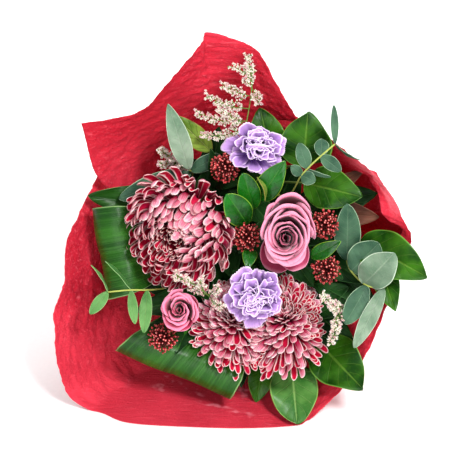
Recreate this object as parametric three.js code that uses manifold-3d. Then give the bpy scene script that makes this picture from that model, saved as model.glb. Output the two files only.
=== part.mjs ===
// A hand-tied mixed bouquet in a two-sheet paper wrapper, lying on its side.
// It is drawn standing: x to the right and y up across the face of the blooms, z along the axis towards the
// blooms, with z = 0 at the middle of the flower heads. The whole group is then laid down on the surface.
import * as THREE from "three";
import { mergeVertices } from "three/addons/utils/BufferGeometryUtils.js";
import Module from "manifold-3d";

const wasm = await Module();
wasm.setup();

// Driving dimensions, in millimetres and radians.
const AXIS_RISE = THREE.MathUtils.degToRad(30); // the axis rises this much from the surface
const HEAD_HEIGHT = 200; // the middle of the flower heads above the surface
const VIEW_DISTANCE = 1500; // places are given as they look from this far in front
const GROUND_SIDE = 1000;
const ORIGIN_SHIFT = new THREE.Vector3(-12.5, -127.9, 0); // brings the middle of the underside to the origin

const WAIST = { low: -247, high: -229 }; // the stretch where the stems and the paper are tied
const BUNDLE_RADIUS = 19.6; // of the tied stems
const STEM_END = -366; // the cut ends
const END_STEPS = [0, 3, 1, 4, 2]; // the stems aren't cut to quite one length
const STEM_SPACE = 1.3; // between neighbouring stems at the waist
const GATHER = 0.14; // how near the axis a stem is at the waist, as a share of where its top is
const SWIRL = 0.25; // how far the stems turn round the axis on their way up
const END_TURN = -0.004; // how far they turn below the waist, for each millimetre
const END_FLARE = 0.0016; // how much they spread below the waist, for each millimetre
const STEM_SIDES = 6;
const STALK_SIDES = 5;
const STEM_STEPS = 16;
const STALK_RADIUS = 1.3; // of a leaf
const SPRIG_STEM_RADIUS = 1.3;
const SPRIG_TIP_RADIUS = 0.9;
const SPRIG_STEPS = 20;
const CLUSTER_STEM_RADIUS = 1.5;
const BLOOM_STEM_RADII = { chrysanthemum: 2.8, rose: 2.6, carnation: 1.9 };
const NECK = 7; // the straight end of a stem below a flower

const PAPER = 1.2;
const SKIRT_END = -292; // the lower edge of the paper
const SKIRT_FLARE = 1.2;
const BACK_WAIST_RADIUS = 25.4;
const FRONT_WAIST_RADIUS = 28.2;
const TWINE = { inner: 21.6, outer: 23.6, low: -243, high: -234 };
const TIE = { inner: 29.8, outer: 31.8, low: -243, high: -233 };
const RING_SEGMENTS = 24;

const LEAF_THICKNESS = 1.2;
const GAP = 0.35; // between pieces that touch
const MERGE_DISTANCE = 1e-3; // vertices nearer than this are one

const COLOURS = {
  paper: 0xc8203a,
  chrysanthemum: 0xa83a5c,
  rose: 0xc878a0,
  carnation: 0xc4a8e0,
  skimmia: 0xb84040,
  glossyLeaf: 0x1f5a22,
  salal: 0x2f7030,
  eucalyptus: 0x8fae9a,
  aspidistra: 0x235f28,
  limonium: 0xd8d2b8,
  stem: 0x5c7a3a,
  twine: 0xb89a6a,
};

// The bouquet's own frame, laid down: its face looks up and forwards.
const bouquet = new THREE.Group();
bouquet.rotation.x = Math.PI / 2 - AXIS_RISE;
bouquet.position.set(0, 0, HEAD_HEIGHT).add(ORIGIN_SHIFT);
const object = new THREE.Group();
object.add(bouquet);
object.updateMatrixWorld(true);
const toSurface = bouquet.matrixWorld.clone();
const fromSurface = toSurface.clone().invert();

// A place given by how it looks from the front, and by its height along the axis.
function seen(x, y, z) {
  const nearer = 1 - z / VIEW_DISTANCE;
  return new THREE.Vector3(x * nearer, y * nearer, z);
}

function solidOf(geometry) {
  const bare = geometry.index ? geometry.toNonIndexed() : geometry.clone();
  bare.deleteAttribute("normal");
  bare.deleteAttribute("uv");
  const merged = mergeVertices(bare, MERGE_DISTANCE);
  return new wasm.Manifold(
    new wasm.Mesh({
      numProp: 3,
      vertProperties: merged.attributes.position.array,
      triVerts: new Uint32Array(merged.index.array),
    }),
  );
}

function geometryOf(solid) {
  const { vertProperties, triVerts } = solid.getMesh();
  const geometry = new THREE.BufferGeometry();
  geometry.setAttribute("position", new THREE.BufferAttribute(vertProperties, 3));
  geometry.setIndex(new THREE.BufferAttribute(triVerts, 1));
  return geometry;
}

function joined(geometries) {
  return geometries.map(solidOf).reduce((whole, next) => whole.add(next));
}

// What reaches below the surface is cut off level with it, as the lowest stem ends are.
const ground = new THREE.BoxGeometry(GROUND_SIDE, GROUND_SIDE, GROUND_SIDE).translate(0, 0, -GROUND_SIDE / 2);
const groundSolid = solidOf(ground.applyMatrix4(fromSurface));

function addPiece(name, solid, colour) {
  const geometry = geometryOf(solid.subtract(groundSolid));
  geometry.computeVertexNormals();
  const material = new THREE.MeshStandardMaterial({ color: colour, roughness: 0.7, metalness: 0 });
  const mesh = new THREE.Mesh(geometry, material);
  mesh.name = name;
  bouquet.add(mesh);
}

// A thin closed sheet: a flat box whose two faces are bent to the surface at(across, along).
function bentSheet(columns, rows, thickness, at) {
  const geometry = new THREE.BoxGeometry(1, 1, 1, columns, rows, 1).translate(0.5, 0.5, 0);
  const { position } = geometry.attributes;
  const step = 1e-3;
  for (let i = 0; i < position.count; i++) {
    const across = position.getX(i);
    const along = position.getY(i);
    const before = [Math.max(across - step, 0), Math.max(along - step, 0)];
    const after = [Math.min(across + step, 1), Math.min(along + step, 1)];
    const acrossStep = at(after[0], along).sub(at(before[0], along));
    const alongStep = at(across, after[1]).sub(at(across, before[1]));
    const normal = acrossStep.cross(alongStep).normalize();
    const place = at(across, along).addScaledVector(normal, position.getZ(i) * thickness);
    position.setXYZ(i, place.x, place.y, place.z);
  }
  return geometry;
}

function tube(points, radius, steps, sides) {
  const section = new THREE.Shape();
  for (let side = 0; side < sides; side++) {
    const angle = (side / sides) * 2 * Math.PI;
    const place = [radius * Math.cos(angle), radius * Math.sin(angle)];
    if (side === 0) section.moveTo(...place);
    else section.lineTo(...place);
  }
  section.closePath();
  const path = new THREE.CatmullRomCurve3(points, false, "centripetal");
  return new THREE.ExtrudeGeometry(section, { steps, extrudePath: path, bevelEnabled: false });
}

// Blade outlines: the half width at each share of the length, as a share of the widest.
const ovate = (share) => 0.1 + 0.9 * Math.sin(Math.PI * share ** 0.8) ** 0.75;
const rounded = (share) => 0.14 + 0.86 * Math.sin(Math.PI * share) ** 0.6;
const slender = (share) => 0.15 + 0.85 * Math.sin(Math.PI * share ** 1.2);

// A leaf blade from base to tip. Its upper face looks along the axis, and roll turns it about its midrib.
function blade({ base, tip, width, ...shape }) {
  const { start = seen(...base), outline = ovate, roll = 0, arch = 4, fold = 0.12, rows = 5 } = shape;
  const length = seen(...tip).sub(start);
  const side = new THREE.Vector3().crossVectors(length, new THREE.Vector3(0, 0, 1)).normalize();
  side.applyAxisAngle(length.clone().normalize(), roll);
  const up = new THREE.Vector3().crossVectors(side, length).normalize();
  return bentSheet(2, rows, LEAF_THICKNESS, (across, along) => {
    const out = 2 * across - 1;
    const half = (width / 2) * outline(Math.min(Math.max(along, 0), 1));
    return start
      .clone()
      .addScaledVector(length, along)
      .addScaledVector(side, out * half)
      .addScaledVector(up, arch * Math.sin(Math.PI * along) + fold * Math.abs(out) * half);
  });
}

// The wrapper.

// Stations along a sheet's rim, each with its place on the rim, the knee where the paper turns outwards, and
// the angle at which it is gathered round the waist, in degrees.
const BACK_SHEET = [
  { rim: [-146, 104, -38], knee: [-127, 46, -72], waist: 200 },
  { rim: [-115, 108, -44], knee: [-92, 62, -100], waist: 186 },
  { rim: [-84, 116, -56], knee: [-62, 80, -115], waist: 165 },
  { rim: [-58, 145, -38], knee: [-48, 92, -112], waist: 145 },
  { rim: [-34, 172, -20], knee: [-30, 105, -108], waist: 128 },
  { rim: [-24, 186, -12], knee: [-20, 112, -104], waist: 118 },
  { rim: [-20, 195, -8], knee: [-10, 118, -100], waist: 110 },
  { rim: [11, 186, -12], knee: [2, 116, -102], waist: 96 },
  { rim: [31, 174, -20], knee: [10, 110, -108], waist: 85 },
  { rim: [49, 143, -34], knee: [18, 108, -106], waist: 74 },
  { rim: [71, 107, -50], knee: [25, 102, -106], waist: 62 },
];
const FRONT_SHEET = [
  { rim: [-112, 82, -100], knee: [-88, 50, -142], waist: 150 },
  { rim: [-131, 47, -88], knee: [-98, 28, -132], waist: 160 },
  { rim: [-147, 14, -58], knee: [-104, 8, -122], waist: 171 },
  { rim: [-160, -15, -40], knee: [-106, -10, -116], waist: 182 },
  { rim: [-163, -55, -28], knee: [-108, -34, -114], waist: 196 },
  { rim: [-172, -84, -26], knee: [-112, -56, -112], waist: 207 },
  { rim: [-172, -104, -28], knee: [-115, -72, -112], waist: 214 },
  { rim: [-168, -141, -42], knee: [-112, -100, -116], waist: 226 },
  { rim: [-157, -171, -64], knee: [-100, -128, -122], waist: 236 },
  { rim: [-127, -188, -66], knee: [-80, -148, -126], waist: 246 },
  { rim: [-99, -197, -50], knee: [-58, -158, -124], waist: 256 },
  { rim: [-40, -201, -44], knee: [-24, -162, -120], waist: 268 },
  { rim: [20, -202, -42], knee: [14, -162, -120], waist: 280 },
  { rim: [70, -199, -46], knee: [46, -156, -122], waist: 293 },
  { rim: [81, -192, -52], knee: [62, -146, -122], waist: 301 },
  { rim: [113, -165, -46], knee: [82, -120, -118], waist: 311 },
  { rim: [134, -136, -40], knee: [96, -92, -114], waist: 322 },
  { rim: [145, -114, -36], knee: [104, -76, -112], waist: 330 },
  { rim: [161, -74, -32], knee: [116, -48, -108], waist: 343 },
  { rim: [176, -40, -28], knee: [134, -26, -92], waist: 355 },
  { rim: [184, -11, -22], knee: [150, -8, -68], waist: 364 },
  { rim: [175, 9, -16], knee: [150, 6, -58], waist: 371 },
  { rim: [161, 36, -14], knee: [140, 30, -52], waist: 381 },
  { rim: [143, 57, -16], knee: [124, 48, -56], waist: 391 },
  { rim: [116, 78, -28], knee: [98, 64, -80], waist: 402 },
  { rim: [94, 95, -46], knee: [72, 76, -108], waist: 413 },
  { rim: [40, 128, -122], knee: [0, 96, -168], waist: 440 },
];
// The shares of the way along a sheet at its skirt end, below and above the waist, at the knee and at the rim,
// and those of its rows of faces.
const SHEET_MARKS = [0, 0.15, 0.22, 0.62, 1];
const SHEET_ROWS = [0, 0.15, 0.22, 0.35, 0.49, 0.62, 0.81, 1];

// The places that a station's line passes through, one for each mark.
function stationLine({ rim, knee, waist }, waistRadius) {
  const angle = THREE.MathUtils.degToRad(waist);
  const round = new THREE.Vector3(Math.cos(angle) * waistRadius, Math.sin(angle) * waistRadius, 0);
  const skirt = round.clone().multiplyScalar(SKIRT_FLARE).setZ(SKIRT_END);
  return [skirt, round.clone().setZ(WAIST.low), round.clone().setZ(WAIST.high), seen(...knee), seen(...rim)];
}

// The place on a sheet at a share of its way from first to last station, and from skirt end to rim.
function sheetPlace(stations, waistRadius, across, along) {
  const place = across * (stations.length - 1);
  const index = Math.min(Math.floor(place), stations.length - 2);
  const [line, nextLine] = [stations[index], stations[index + 1]].map((one) => stationLine(one, waistRadius));
  const points = line.map((point, mark) => point.clone().lerp(nextLine[mark], place - index));
  const next = Math.max(1, SHEET_MARKS.findIndex((mark) => Math.min(along, 1) <= mark));
  const share = (along - SHEET_MARKS[next - 1]) / (SHEET_MARKS[next] - SHEET_MARKS[next - 1]);
  return points[next - 1].lerp(points[next], share);
}

// Paper can't go below the surface: what would is pressed flat on it, with its inner face a paper's thickness
// up.
function pressedOnSurface(geometry, isInner) {
  const { position } = geometry.attributes;
  const place = new THREE.Vector3();
  for (let i = 0; i < position.count; i++) {
    place.fromBufferAttribute(position, i).applyMatrix4(toSurface);
    place.z = Math.max(place.z, isInner[i] ? PAPER : 0);
    place.applyMatrix4(fromSurface);
    position.setXYZ(i, place.x, place.y, place.z);
  }
  return geometry;
}

// innerSide says which side of the flat box becomes the inner face: its upper (1) or its lower (-1).
function paperSheet(stations, waistRadius, innerSide) {
  const columns = stations.length - 1;
  const rows = SHEET_ROWS.length - 1;
  const geometry = bentSheet(columns, rows, PAPER, (across, along) => {
    const row = along * rows;
    const below = Math.min(Math.floor(row), rows - 1);
    const height = THREE.MathUtils.lerp(SHEET_ROWS[below], SHEET_ROWS[below + 1], row - below);
    return sheetPlace(stations, waistRadius, across, height);
  });
  const flat = new THREE.BoxGeometry(1, 1, 1, columns, rows, 1).attributes.position;
  const isInner = Array.from({ length: flat.count }, (_, i) => flat.getZ(i) * innerSide > 0);
  return pressedOnSurface(geometry, isInner);
}

// A ring round the axis, with a square section.
function ring({ inner, outer, low, high }) {
  const corners = [[inner, low], [outer, low], [outer, high], [inner, high], [inner, low]];
  const profile = corners.map(([radius, z]) => new THREE.Vector2(radius, z));
  return new THREE.LatheGeometry(profile, RING_SEGMENTS).rotateX(Math.PI / 2);
}

addPiece("wrapper_back_sheet", solidOf(paperSheet(BACK_SHEET, BACK_WAIST_RADIUS, 1)), COLOURS.paper);
addPiece("wrapper_front_sheet", solidOf(paperSheet(FRONT_SHEET, FRONT_WAIST_RADIUS, -1)), COLOURS.paper);
addPiece("stem_twine", solidOf(ring(TWINE)), COLOURS.twine);
addPiece("wrapper_tie", solidOf(ring(TIE)), COLOURS.twine);

// The flowers and leaves. Places are [x, y, z] as seen from the front.

// Each head: the middle, its radius, and its lowest and highest z.
const BLOOMS = {
  chrysanthemum_left: { kind: "chrysanthemum", middle: [-44, -2], radius: 52, low: -50, high: 20 },
  chrysanthemum_lower: { kind: "chrysanthemum", middle: [4, -108], radius: 31, low: -70, high: -16 },
  chrysanthemum_right: { kind: "chrysanthemum", middle: [75, -96], radius: 37, low: -68, high: -10 },
  rose_large: { kind: "rose", middle: [58, -6], radius: 28, low: -36, high: 26 },
  rose_small: { kind: "rose", middle: [-45, -83], radius: 20, low: -30, high: 14 },
  carnation_upper: { kind: "carnation", middle: [29, 77], radius: 31, low: -38, high: 22 },
  carnation_lower: { kind: "carnation", middle: [30, -67], radius: 31, low: -36, high: 30 },
};
// The side of each kind of head, from below to above, in shares of its radius and height.
const HEAD_SIDES = {
  chrysanthemum: [[0.22, 0], [0.7, 0.12], [0.97, 0.3], [1, 0.46], [0.9, 0.68], [0.68, 0.86], [0.36, 0.97]],
  rose: [[0.24, 0], [0.5, 0.14], [0.78, 0.36], [0.98, 0.6], [1, 0.78], [0.84, 0.94], [0.5, 1]],
  carnation: [[0.1, 0], [0.19, 0.08], [0.2, 0.34], [0.62, 0.52], [1, 0.64], [0.96, 0.82], [0.6, 0.97]],
};
const HEAD_SEGMENTS = 14;

// Skimmia bud clusters: the middle of each.
const CLUSTERS = {
  skimmia_top: [-2, 60, -14],
  skimmia_middle: [20, -10, -17],
  skimmia_right: [98, 3, -16],
  skimmia_right_lower: [100, -42, -18],
  skimmia_lower_left: [-64, -111, -20],
};
const CLUSTER_RADIUS = 11.6;
const CLUSTER_DEPTH = 9;
const CLUSTER_SEGMENTS = 9;
const CLUSTER_RINGS = 6;

// The glossy leaves round the skimmia clusters.
const GLOSSY_LEAVES = {
  glossy_leaf_rounded: { base: [18, 4, -22], tip: [9, 36, 2], width: 24, outline: rounded },
  glossy_leaf_upper: { base: [24, 22, -30], tip: [18, 51, -8], width: 20, outline: rounded },
  glossy_leaf_carnation: { base: [36, 30, -30], tip: [48, 66, -16], width: 27 },
  glossy_leaf_edge: { base: [38, 26, -14], tip: [30, 50, -9], width: 9, outline: slender, roll: 1.1 },
  glossy_leaf_low: { base: [24, -22, -22], tip: [20, -42, -6], width: 15 },
  glossy_leaf_right: { base: [84, -30, -20], tip: [111, -15, -2], width: 12 },
};

// Leaves that each have a stalk of their own down to the cut ends.
const STALKED_LEAVES = {
  salal_top: { base: [42, 70, -66], tip: [33, 119, -52], width: 46 },
  salal_top_right: { base: [76, 62, -54], tip: [81, 115, -24], width: 56 },
  salal_right_upper: { base: [78, 44, -48], tip: [135, 30, -18], width: 44 },
  salal_far_right: { base: [144, 6, -32], tip: [200, -50, 9], width: 50 },
  salal_right_tip: { base: [151, -34, -42], tip: [168, -84, -10], width: 28 },
  salal_lower_right: { base: [92, -116, -74], tip: [136, -162, -24], width: 54 },
  salal_bottom: { base: [64, -134, -82], tip: [70, -197, -42], width: 50, outline: rounded },
  salal_bottom_dark: { base: [36, -136, -88], tip: [29, -175, -78], width: 26 },
  salal_curled: { base: [-16, 76, -60], tip: [-54, 112, -40], width: 22 },
  aspidistra_upper_left: { base: [-66, 22, -84], tip: [-137, 32, -58], width: 42, outline: rounded },
};

// Looped leaves: a strip that climbs from the waist, rolls over outwards and is tucked in under the heads.
// path holds [outward, z] of the midrib, offset its place across the outward direction, widths the width at
// each point.
const LOOPED_LEAVES = {
  aspidistra_bottom: {
    outward: [-0.379, -0.925],
    offset: 6,
    path: [[44, -200], [76, -163], [116, -121], [144, -84], [157, -60], [151, -42], [138, -37], [131, -47]],
    widths: [4, 14, 70, 112, 126, 126, 124, 122],
  },
  aspidistra_left: {
    outward: [-0.985, -0.171],
    offset: 5,
    path: [[40, -200], [66, -163], [97, -113], [120, -78], [129, -54], [123, -36], [108, -30], [99, -38]],
    widths: [4, 14, 58, 84, 93, 94, 92, 90],
  },
};
const LOOP_COLUMNS = 4;
const LOOP_ROWS = 14;

// Sprigs: a stem, and leaves or flower spikes that grow from it.
const EUCALYPTUS = {
  eucalyptus_upper_left: {
    stem: [[-34, 54, -75], [-36, 56, -52], [-38, 57, -36]],
    leaves: [
      { base: [-38, 57, -37], tip: [-59, 123, -18], width: 25 },
      { base: [-35, 57, -50], tip: [-6, 72, -44], width: 16 },
      { base: [-36, 55, -60], tip: [-108, 28, -52], width: 24 },
    ],
  },
  eucalyptus_upper_right: {
    stem: [[62, 32, -50], [74, 51, -13], [81, 59, -8], [95, 72, -4], [108, 83, 0]],
    leaves: [
      { base: [108, 83, 0], tip: [107, 122, 6], width: 8 },
      { base: [108, 83, 0], tip: [133, 67, 2], width: 8, roll: 1.35 },
      { base: [95, 72, -4], tip: [95, 88, -8], width: 15 },
      { base: [95, 72, -4], tip: [114, 56, 0], width: 14 },
      { base: [81, 59, -8], tip: [72, 84, 0], width: 15 },
      { base: [81, 59, -8], tip: [104, 50, -2], width: 6, roll: 0.9 },
      { base: [74, 51, -13], tip: [88, 45, -6], width: 15 },
      { base: [74, 51, -13], tip: [64, 61, -8], width: 11 },
    ],
  },
  eucalyptus_right: {
    stem: [[116, -26, -66], [124, -44, -38], [141, -59, -18], [157, -61, -10]],
    leaves: [
      { base: [119, -34, -52], tip: [121, 23, -12], width: 27 },
      { base: [124, -44, -38], tip: [152, -16, -22], width: 34 },
      { base: [136, -56, -22], tip: [167, -26, 20], width: 36, arch: 5 },
      { base: [139, -58, -20], tip: [118, -97, -14], width: 22 },
      { base: [157, -61, -10], tip: [127, -121, 8], width: 17 },
    ],
  },
  eucalyptus_left: {
    stem: [[-68, -62, -40], [-80, -63, -16], [-97, -63, -7], [-119, -65, -4]],
    leaves: [
      { base: [-119, -65, -4], tip: [-137, -87, 2], width: 12 },
      { base: [-119, -65, -4], tip: [-136, -38, 0], width: 8, roll: 1.35 },
      { base: [-97, -63, -7], tip: [-122, -34, -2], width: 7, roll: 1.2 },
      { base: [-97, -63, -7], tip: [-92, -97, -8], width: 10 },
      { base: [-78, -63, -18], tip: [-83, -106, -8], width: 13 },
    ],
  },
};

const LIMONIUM = {
  limonium_top: {
    stem: [[12, 66, -66], [17, 92, -42], [23, 125, -32], [25, 148, -28], [20, 168, -26]],
    spikes: [
      { base: [24, 144, -29], tip: [6, 160, -24] },
      { base: [24, 130, -31], tip: [-4, 142, -24] },
      { base: [22, 118, -33], tip: [-20, 132, -26] },
      { base: [20, 106, -38], tip: [-30, 114, -28] },
      { base: [18, 98, -40], tip: [-24, 92, -34] },
      { base: [19, 102, -39], tip: [-8, 116, -26] },
      { base: [25, 140, -29], tip: [30, 124, -24] },
    ],
  },
  limonium_upper_left: {
    stem: [[-46, 44, -84], [-50, 60, -68], [-60, 71, -54]],
    spikes: [
      { base: [-58, 69, -56], tip: [-67, 78, -46] },
      { base: [-54, 64, -62], tip: [-68, 64, -50] },
      { base: [-50, 60, -68], tip: [-42, 74, -58] },
    ],
  },
  limonium_middle: {
    stem: [[-14, -74, -60], [-17, -70, -18], [-26, -62, -2], [-40, -53, 2]],
    spikes: [
      { base: [-38, -54, 1], tip: [-52, -46, 6] },
      { base: [-22, -65, -8], tip: [-26, -52, 8] },
      { base: [-17, -70, -18], tip: [-4, -80, 0] },
      { base: [-20, -67, -12], tip: [-8, -60, 4] },
    ],
  },
  limonium_right: {
    stem: [[118, -76, -62], [115, -82, -22], [108, -88, -6]],
    spikes: [
      { base: [114, -83, -20], tip: [96, -68, -4] },
      { base: [109, -87, -8], tip: [103, -76, -2] },
      { base: [110, -86, -10], tip: [107, -102, -2] },
      { base: [113, -84, -18], tip: [104, -116, -6] },
    ],
  },
};
const SPIKE_BASE_RADIUS = 0.8;
const SPIKE_TIP_RADIUS = 2.4;
const SPIKE_SIDES = 5;

// Where each stem crosses the waist: nearer the axis than its top, and pushed apart until all stems fit.
const stemSlots = new Map();
const PACKING_ROUNDS = 600;
const SPIRAL_SHARES = [0, 0.25, 0.5, 0.75, 1];

function reserveStem(name, top, radius) {
  stemSlots.set(name, { place: new THREE.Vector2(top.x, top.y).multiplyScalar(GATHER), radius });
}

function packStems() {
  const slots = [...stemSlots.values()];
  for (let round = 0; round < PACKING_ROUNDS; round++) {
    slots.forEach((one, i) => {
      slots.slice(i + 1).forEach((other) => {
        const apart = other.place.clone().sub(one.place);
        const missing = one.radius + other.radius + STEM_SPACE - apart.length();
        if (missing <= 0) return;
        apart.setLength(missing / 2);
        one.place.sub(apart);
        other.place.add(apart);
      });
      one.place.clampLength(0, BUNDLE_RADIUS - one.radius);
    });
  }
}

// The middle line of a stem from its cut end through the waist to its top. All stems follow one smooth swirl,
// so they don't meet. SPIRAL_SHARES are the shares of the way up at which it is worked out.
function stemPath(name, top) {
  const { place } = stemSlots.get(name);
  const order = [...stemSlots.keys()].indexOf(name);
  const end = STEM_END + END_STEPS[order % END_STEPS.length];
  const below = [end, (end + WAIST.low) / 2, WAIST.low].map((z) => {
    const down = WAIST.low - z;
    const spread = place.clone().multiplyScalar(1 + END_FLARE * down);
    spread.rotateAround(new THREE.Vector2(), END_TURN * down);
    return new THREE.Vector3(spread.x, spread.y, z);
  });
  const above = SPIRAL_SHARES.map((share) => {
    const flat = place.clone().lerp(new THREE.Vector2(top.x, top.y), share);
    flat.rotateAround(new THREE.Vector2(), 4 * SWIRL * share * (1 - share));
    return new THREE.Vector3(flat.x, flat.y, THREE.MathUtils.lerp(WAIST.high, top.z, share));
  });
  return [...below, ...above];
}

function head({ kind, middle, radius, low, high }) {
  const side = HEAD_SIDES[kind].map(([r, z]) => new THREE.Vector2(r * radius, low + z * (high - low)));
  const profile = [new THREE.Vector2(0, low), ...side, new THREE.Vector2(0, high)];
  const { x, y } = seen(...middle, (low + high) / 2);
  return new THREE.LatheGeometry(profile, HEAD_SEGMENTS).rotateX(Math.PI / 2).translate(x, y, 0);
}

function headFoot({ middle, low, high }) {
  return seen(...middle, (low + high) / 2).setZ(low - GAP);
}

// A flower's stem runs straight into the foot of its head.
function neckedPath(name, foot) {
  return [...stemPath(name, foot.clone().setZ(foot.z - NECK)), foot];
}

function cluster(middle) {
  const { x, y, z } = seen(...middle);
  const ball = new THREE.SphereGeometry(CLUSTER_RADIUS, CLUSTER_SEGMENTS, CLUSTER_RINGS).rotateX(Math.PI / 2);
  return ball.scale(1, 1, CLUSTER_DEPTH / CLUSTER_RADIUS).translate(x, y, z);
}

function clusterFoot(middle) {
  const foot = seen(...middle);
  return foot.setZ(foot.z - CLUSTER_DEPTH - GAP);
}

function loopedLeaf({ outward, offset, path, widths }) {
  const out = new THREE.Vector3(...outward, 0);
  const side = new THREE.Vector3(-outward[1], outward[0], 0);
  const line = new THREE.CatmullRomCurve3(
    path.map(([reach, z]) => seen(out.x * reach + side.x * offset, out.y * reach + side.y * offset, z)),
  );
  return bentSheet(LOOP_COLUMNS, LOOP_ROWS, LEAF_THICKNESS, (across, along) => {
    const share = Math.min(Math.max(along, 0), 1) * (widths.length - 1);
    const index = Math.min(Math.floor(share), widths.length - 2);
    const width = THREE.MathUtils.lerp(widths[index], widths[index + 1], share - index);
    return line.getPoint(Math.min(Math.max(along, 0), 1)).addScaledVector(side, (across - 0.5) * width);
  });
}

function loopFoot({ outward, offset, path }) {
  const [reach, z] = path[0];
  return seen(outward[0] * reach - outward[1] * offset, outward[1] * reach + outward[0] * offset, z);
}

// Where a looped leaf turns over.
function loopTurn({ outward, path }) {
  const reach = Math.max(...path.map(([distance]) => distance));
  return new THREE.Vector3(outward[0] * reach, outward[1] * reach, 0);
}

// The place on a stem's tube nearest to a given one, for what grows out of it there.
function nearestOn(line, steps, place) {
  const points = new THREE.CatmullRomCurve3(line, false, "centripetal").getSpacedPoints(steps);
  const nearest = points.slice(1).map((end, i) => {
    return new THREE.Line3(points[i], end).closestPointToPoint(place, true, new THREE.Vector3());
  });
  return nearest.reduce((best, next) => (next.distanceTo(place) < best.distanceTo(place) ? next : best));
}

// A round spike of flowers, wider at its tip.
function spike(line, { base, tip }) {
  const from = nearestOn(line, SPRIG_STEPS, seen(...base));
  const along = seen(...tip).sub(from);
  const shape = new THREE.CylinderGeometry(SPIKE_TIP_RADIUS, SPIKE_BASE_RADIUS, along.length(), SPIKE_SIDES);
  shape.translate(0, along.length() / 2, 0);
  const up = new THREE.Vector3(0, 1, 0);
  const turn = new THREE.Quaternion().setFromUnitVectors(up, along.clone().normalize());
  return shape.applyQuaternion(turn).translate(from.x, from.y, from.z);
}

Object.entries(BLOOMS).forEach(([name, bloom]) => {
  reserveStem(name, headFoot(bloom), BLOOM_STEM_RADII[bloom.kind]);
});
Object.entries(CLUSTERS).forEach(([name, middle]) => {
  reserveStem(name, clusterFoot(middle), CLUSTER_STEM_RADIUS);
});
Object.entries({ ...EUCALYPTUS, ...LIMONIUM }).forEach(([name, { stem }]) => {
  reserveStem(name, seen(...stem[0]), SPRIG_STEM_RADIUS);
});
Object.entries(STALKED_LEAVES).forEach(([name, { base }]) => reserveStem(name, seen(...base), STALK_RADIUS));
Object.entries(LOOPED_LEAVES).forEach(([name, leaf]) => reserveStem(name, loopTurn(leaf), STALK_RADIUS));
packStems();

Object.entries(BLOOMS).forEach(([name, bloom]) => {
  const path = neckedPath(name, headFoot(bloom));
  const stem = tube(path, BLOOM_STEM_RADII[bloom.kind], STEM_STEPS, STEM_SIDES);
  addPiece(name + "_bloom", solidOf(head(bloom)), COLOURS[bloom.kind]);
  addPiece(name + "_stem", solidOf(stem), COLOURS.stem);
});
Object.entries(CLUSTERS).forEach(([name, middle]) => {
  const path = neckedPath(name, clusterFoot(middle));
  addPiece(name + "_cluster", solidOf(cluster(middle)), COLOURS.skimmia);
  addPiece(name + "_stem", solidOf(tube(path, CLUSTER_STEM_RADIUS, STEM_STEPS, STALK_SIDES)), COLOURS.stem);
});
Object.entries(GLOSSY_LEAVES).forEach(([name, leaf]) => {
  addPiece(name, solidOf(blade(leaf)), COLOURS.glossyLeaf);
});
Object.entries(STALKED_LEAVES).forEach(([name, leaf]) => {
  const stalk = tube(stemPath(name, seen(...leaf.base)), STALK_RADIUS, STEM_STEPS, STALK_SIDES);
  addPiece(name, joined([stalk, blade(leaf)]), name.startsWith("salal") ? COLOURS.salal : COLOURS.aspidistra);
});
Object.entries(LOOPED_LEAVES).forEach(([name, leaf]) => {
  const stalk = tube(stemPath(name, loopFoot(leaf)), STALK_RADIUS, STEM_STEPS, STALK_SIDES);
  addPiece(name, joined([stalk, loopedLeaf(leaf)]), COLOURS.aspidistra);
});
Object.entries(EUCALYPTUS).forEach(([name, { stem, leaves }]) => {
  const [top, ...rest] = stem.map((place) => seen(...place));
  const line = [...stemPath(name, top), ...rest];
  const blades = leaves.map((leaf) => {
    const start = nearestOn(line, SPRIG_STEPS, seen(...leaf.base));
    return blade({ outline: rounded, arch: 2, rows: 4, ...leaf, start });
  });
  const twig = tube(line, SPRIG_STEM_RADIUS, SPRIG_STEPS, STALK_SIDES);
  addPiece(name, joined([twig, ...blades]), COLOURS.eucalyptus);
});
Object.entries(LIMONIUM).forEach(([name, { stem, spikes }]) => {
  const [top, ...rest] = stem.map((place) => seen(...place));
  const line = [...stemPath(name, top), ...rest];
  const twig = tube(line, SPRIG_TIP_RADIUS, SPRIG_STEPS, STALK_SIDES);
  addPiece(name, joined([twig, ...spikes.map((one) => spike(line, one))]), COLOURS.limonium);
});

export default object;
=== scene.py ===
import math

import bmesh
import bpy
import numpy as np
from mathutils import Matrix, Vector, noise


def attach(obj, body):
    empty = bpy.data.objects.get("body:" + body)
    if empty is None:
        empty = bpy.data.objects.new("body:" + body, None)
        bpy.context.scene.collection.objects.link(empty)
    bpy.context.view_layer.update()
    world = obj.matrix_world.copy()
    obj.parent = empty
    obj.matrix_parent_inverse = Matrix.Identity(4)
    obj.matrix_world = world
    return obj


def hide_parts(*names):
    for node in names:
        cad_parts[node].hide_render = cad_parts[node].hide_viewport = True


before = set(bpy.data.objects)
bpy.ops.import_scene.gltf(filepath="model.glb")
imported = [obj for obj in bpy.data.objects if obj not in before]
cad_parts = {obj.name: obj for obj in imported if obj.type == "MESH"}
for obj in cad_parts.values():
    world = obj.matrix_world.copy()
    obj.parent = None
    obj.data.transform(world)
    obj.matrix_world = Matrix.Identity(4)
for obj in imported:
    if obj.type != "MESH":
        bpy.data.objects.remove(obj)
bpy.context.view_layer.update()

MM = 0.001
GOLDEN_ANGLE = math.pi * (3 - math.sqrt(5))

# The bouquet's own frame, laid down: its axis rises from the floor by AXIS_RISE.
AXIS_RISE = math.radians(30)
HEAD_HEIGHT = 200
VIEW_DISTANCE = 1500
ORIGIN_SHIFT = (-12.5, -127.9, 0)
TILT = math.pi / 2 - AXIS_RISE
SIN_TILT, COS_TILT = math.sin(TILT), math.cos(TILT)


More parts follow.
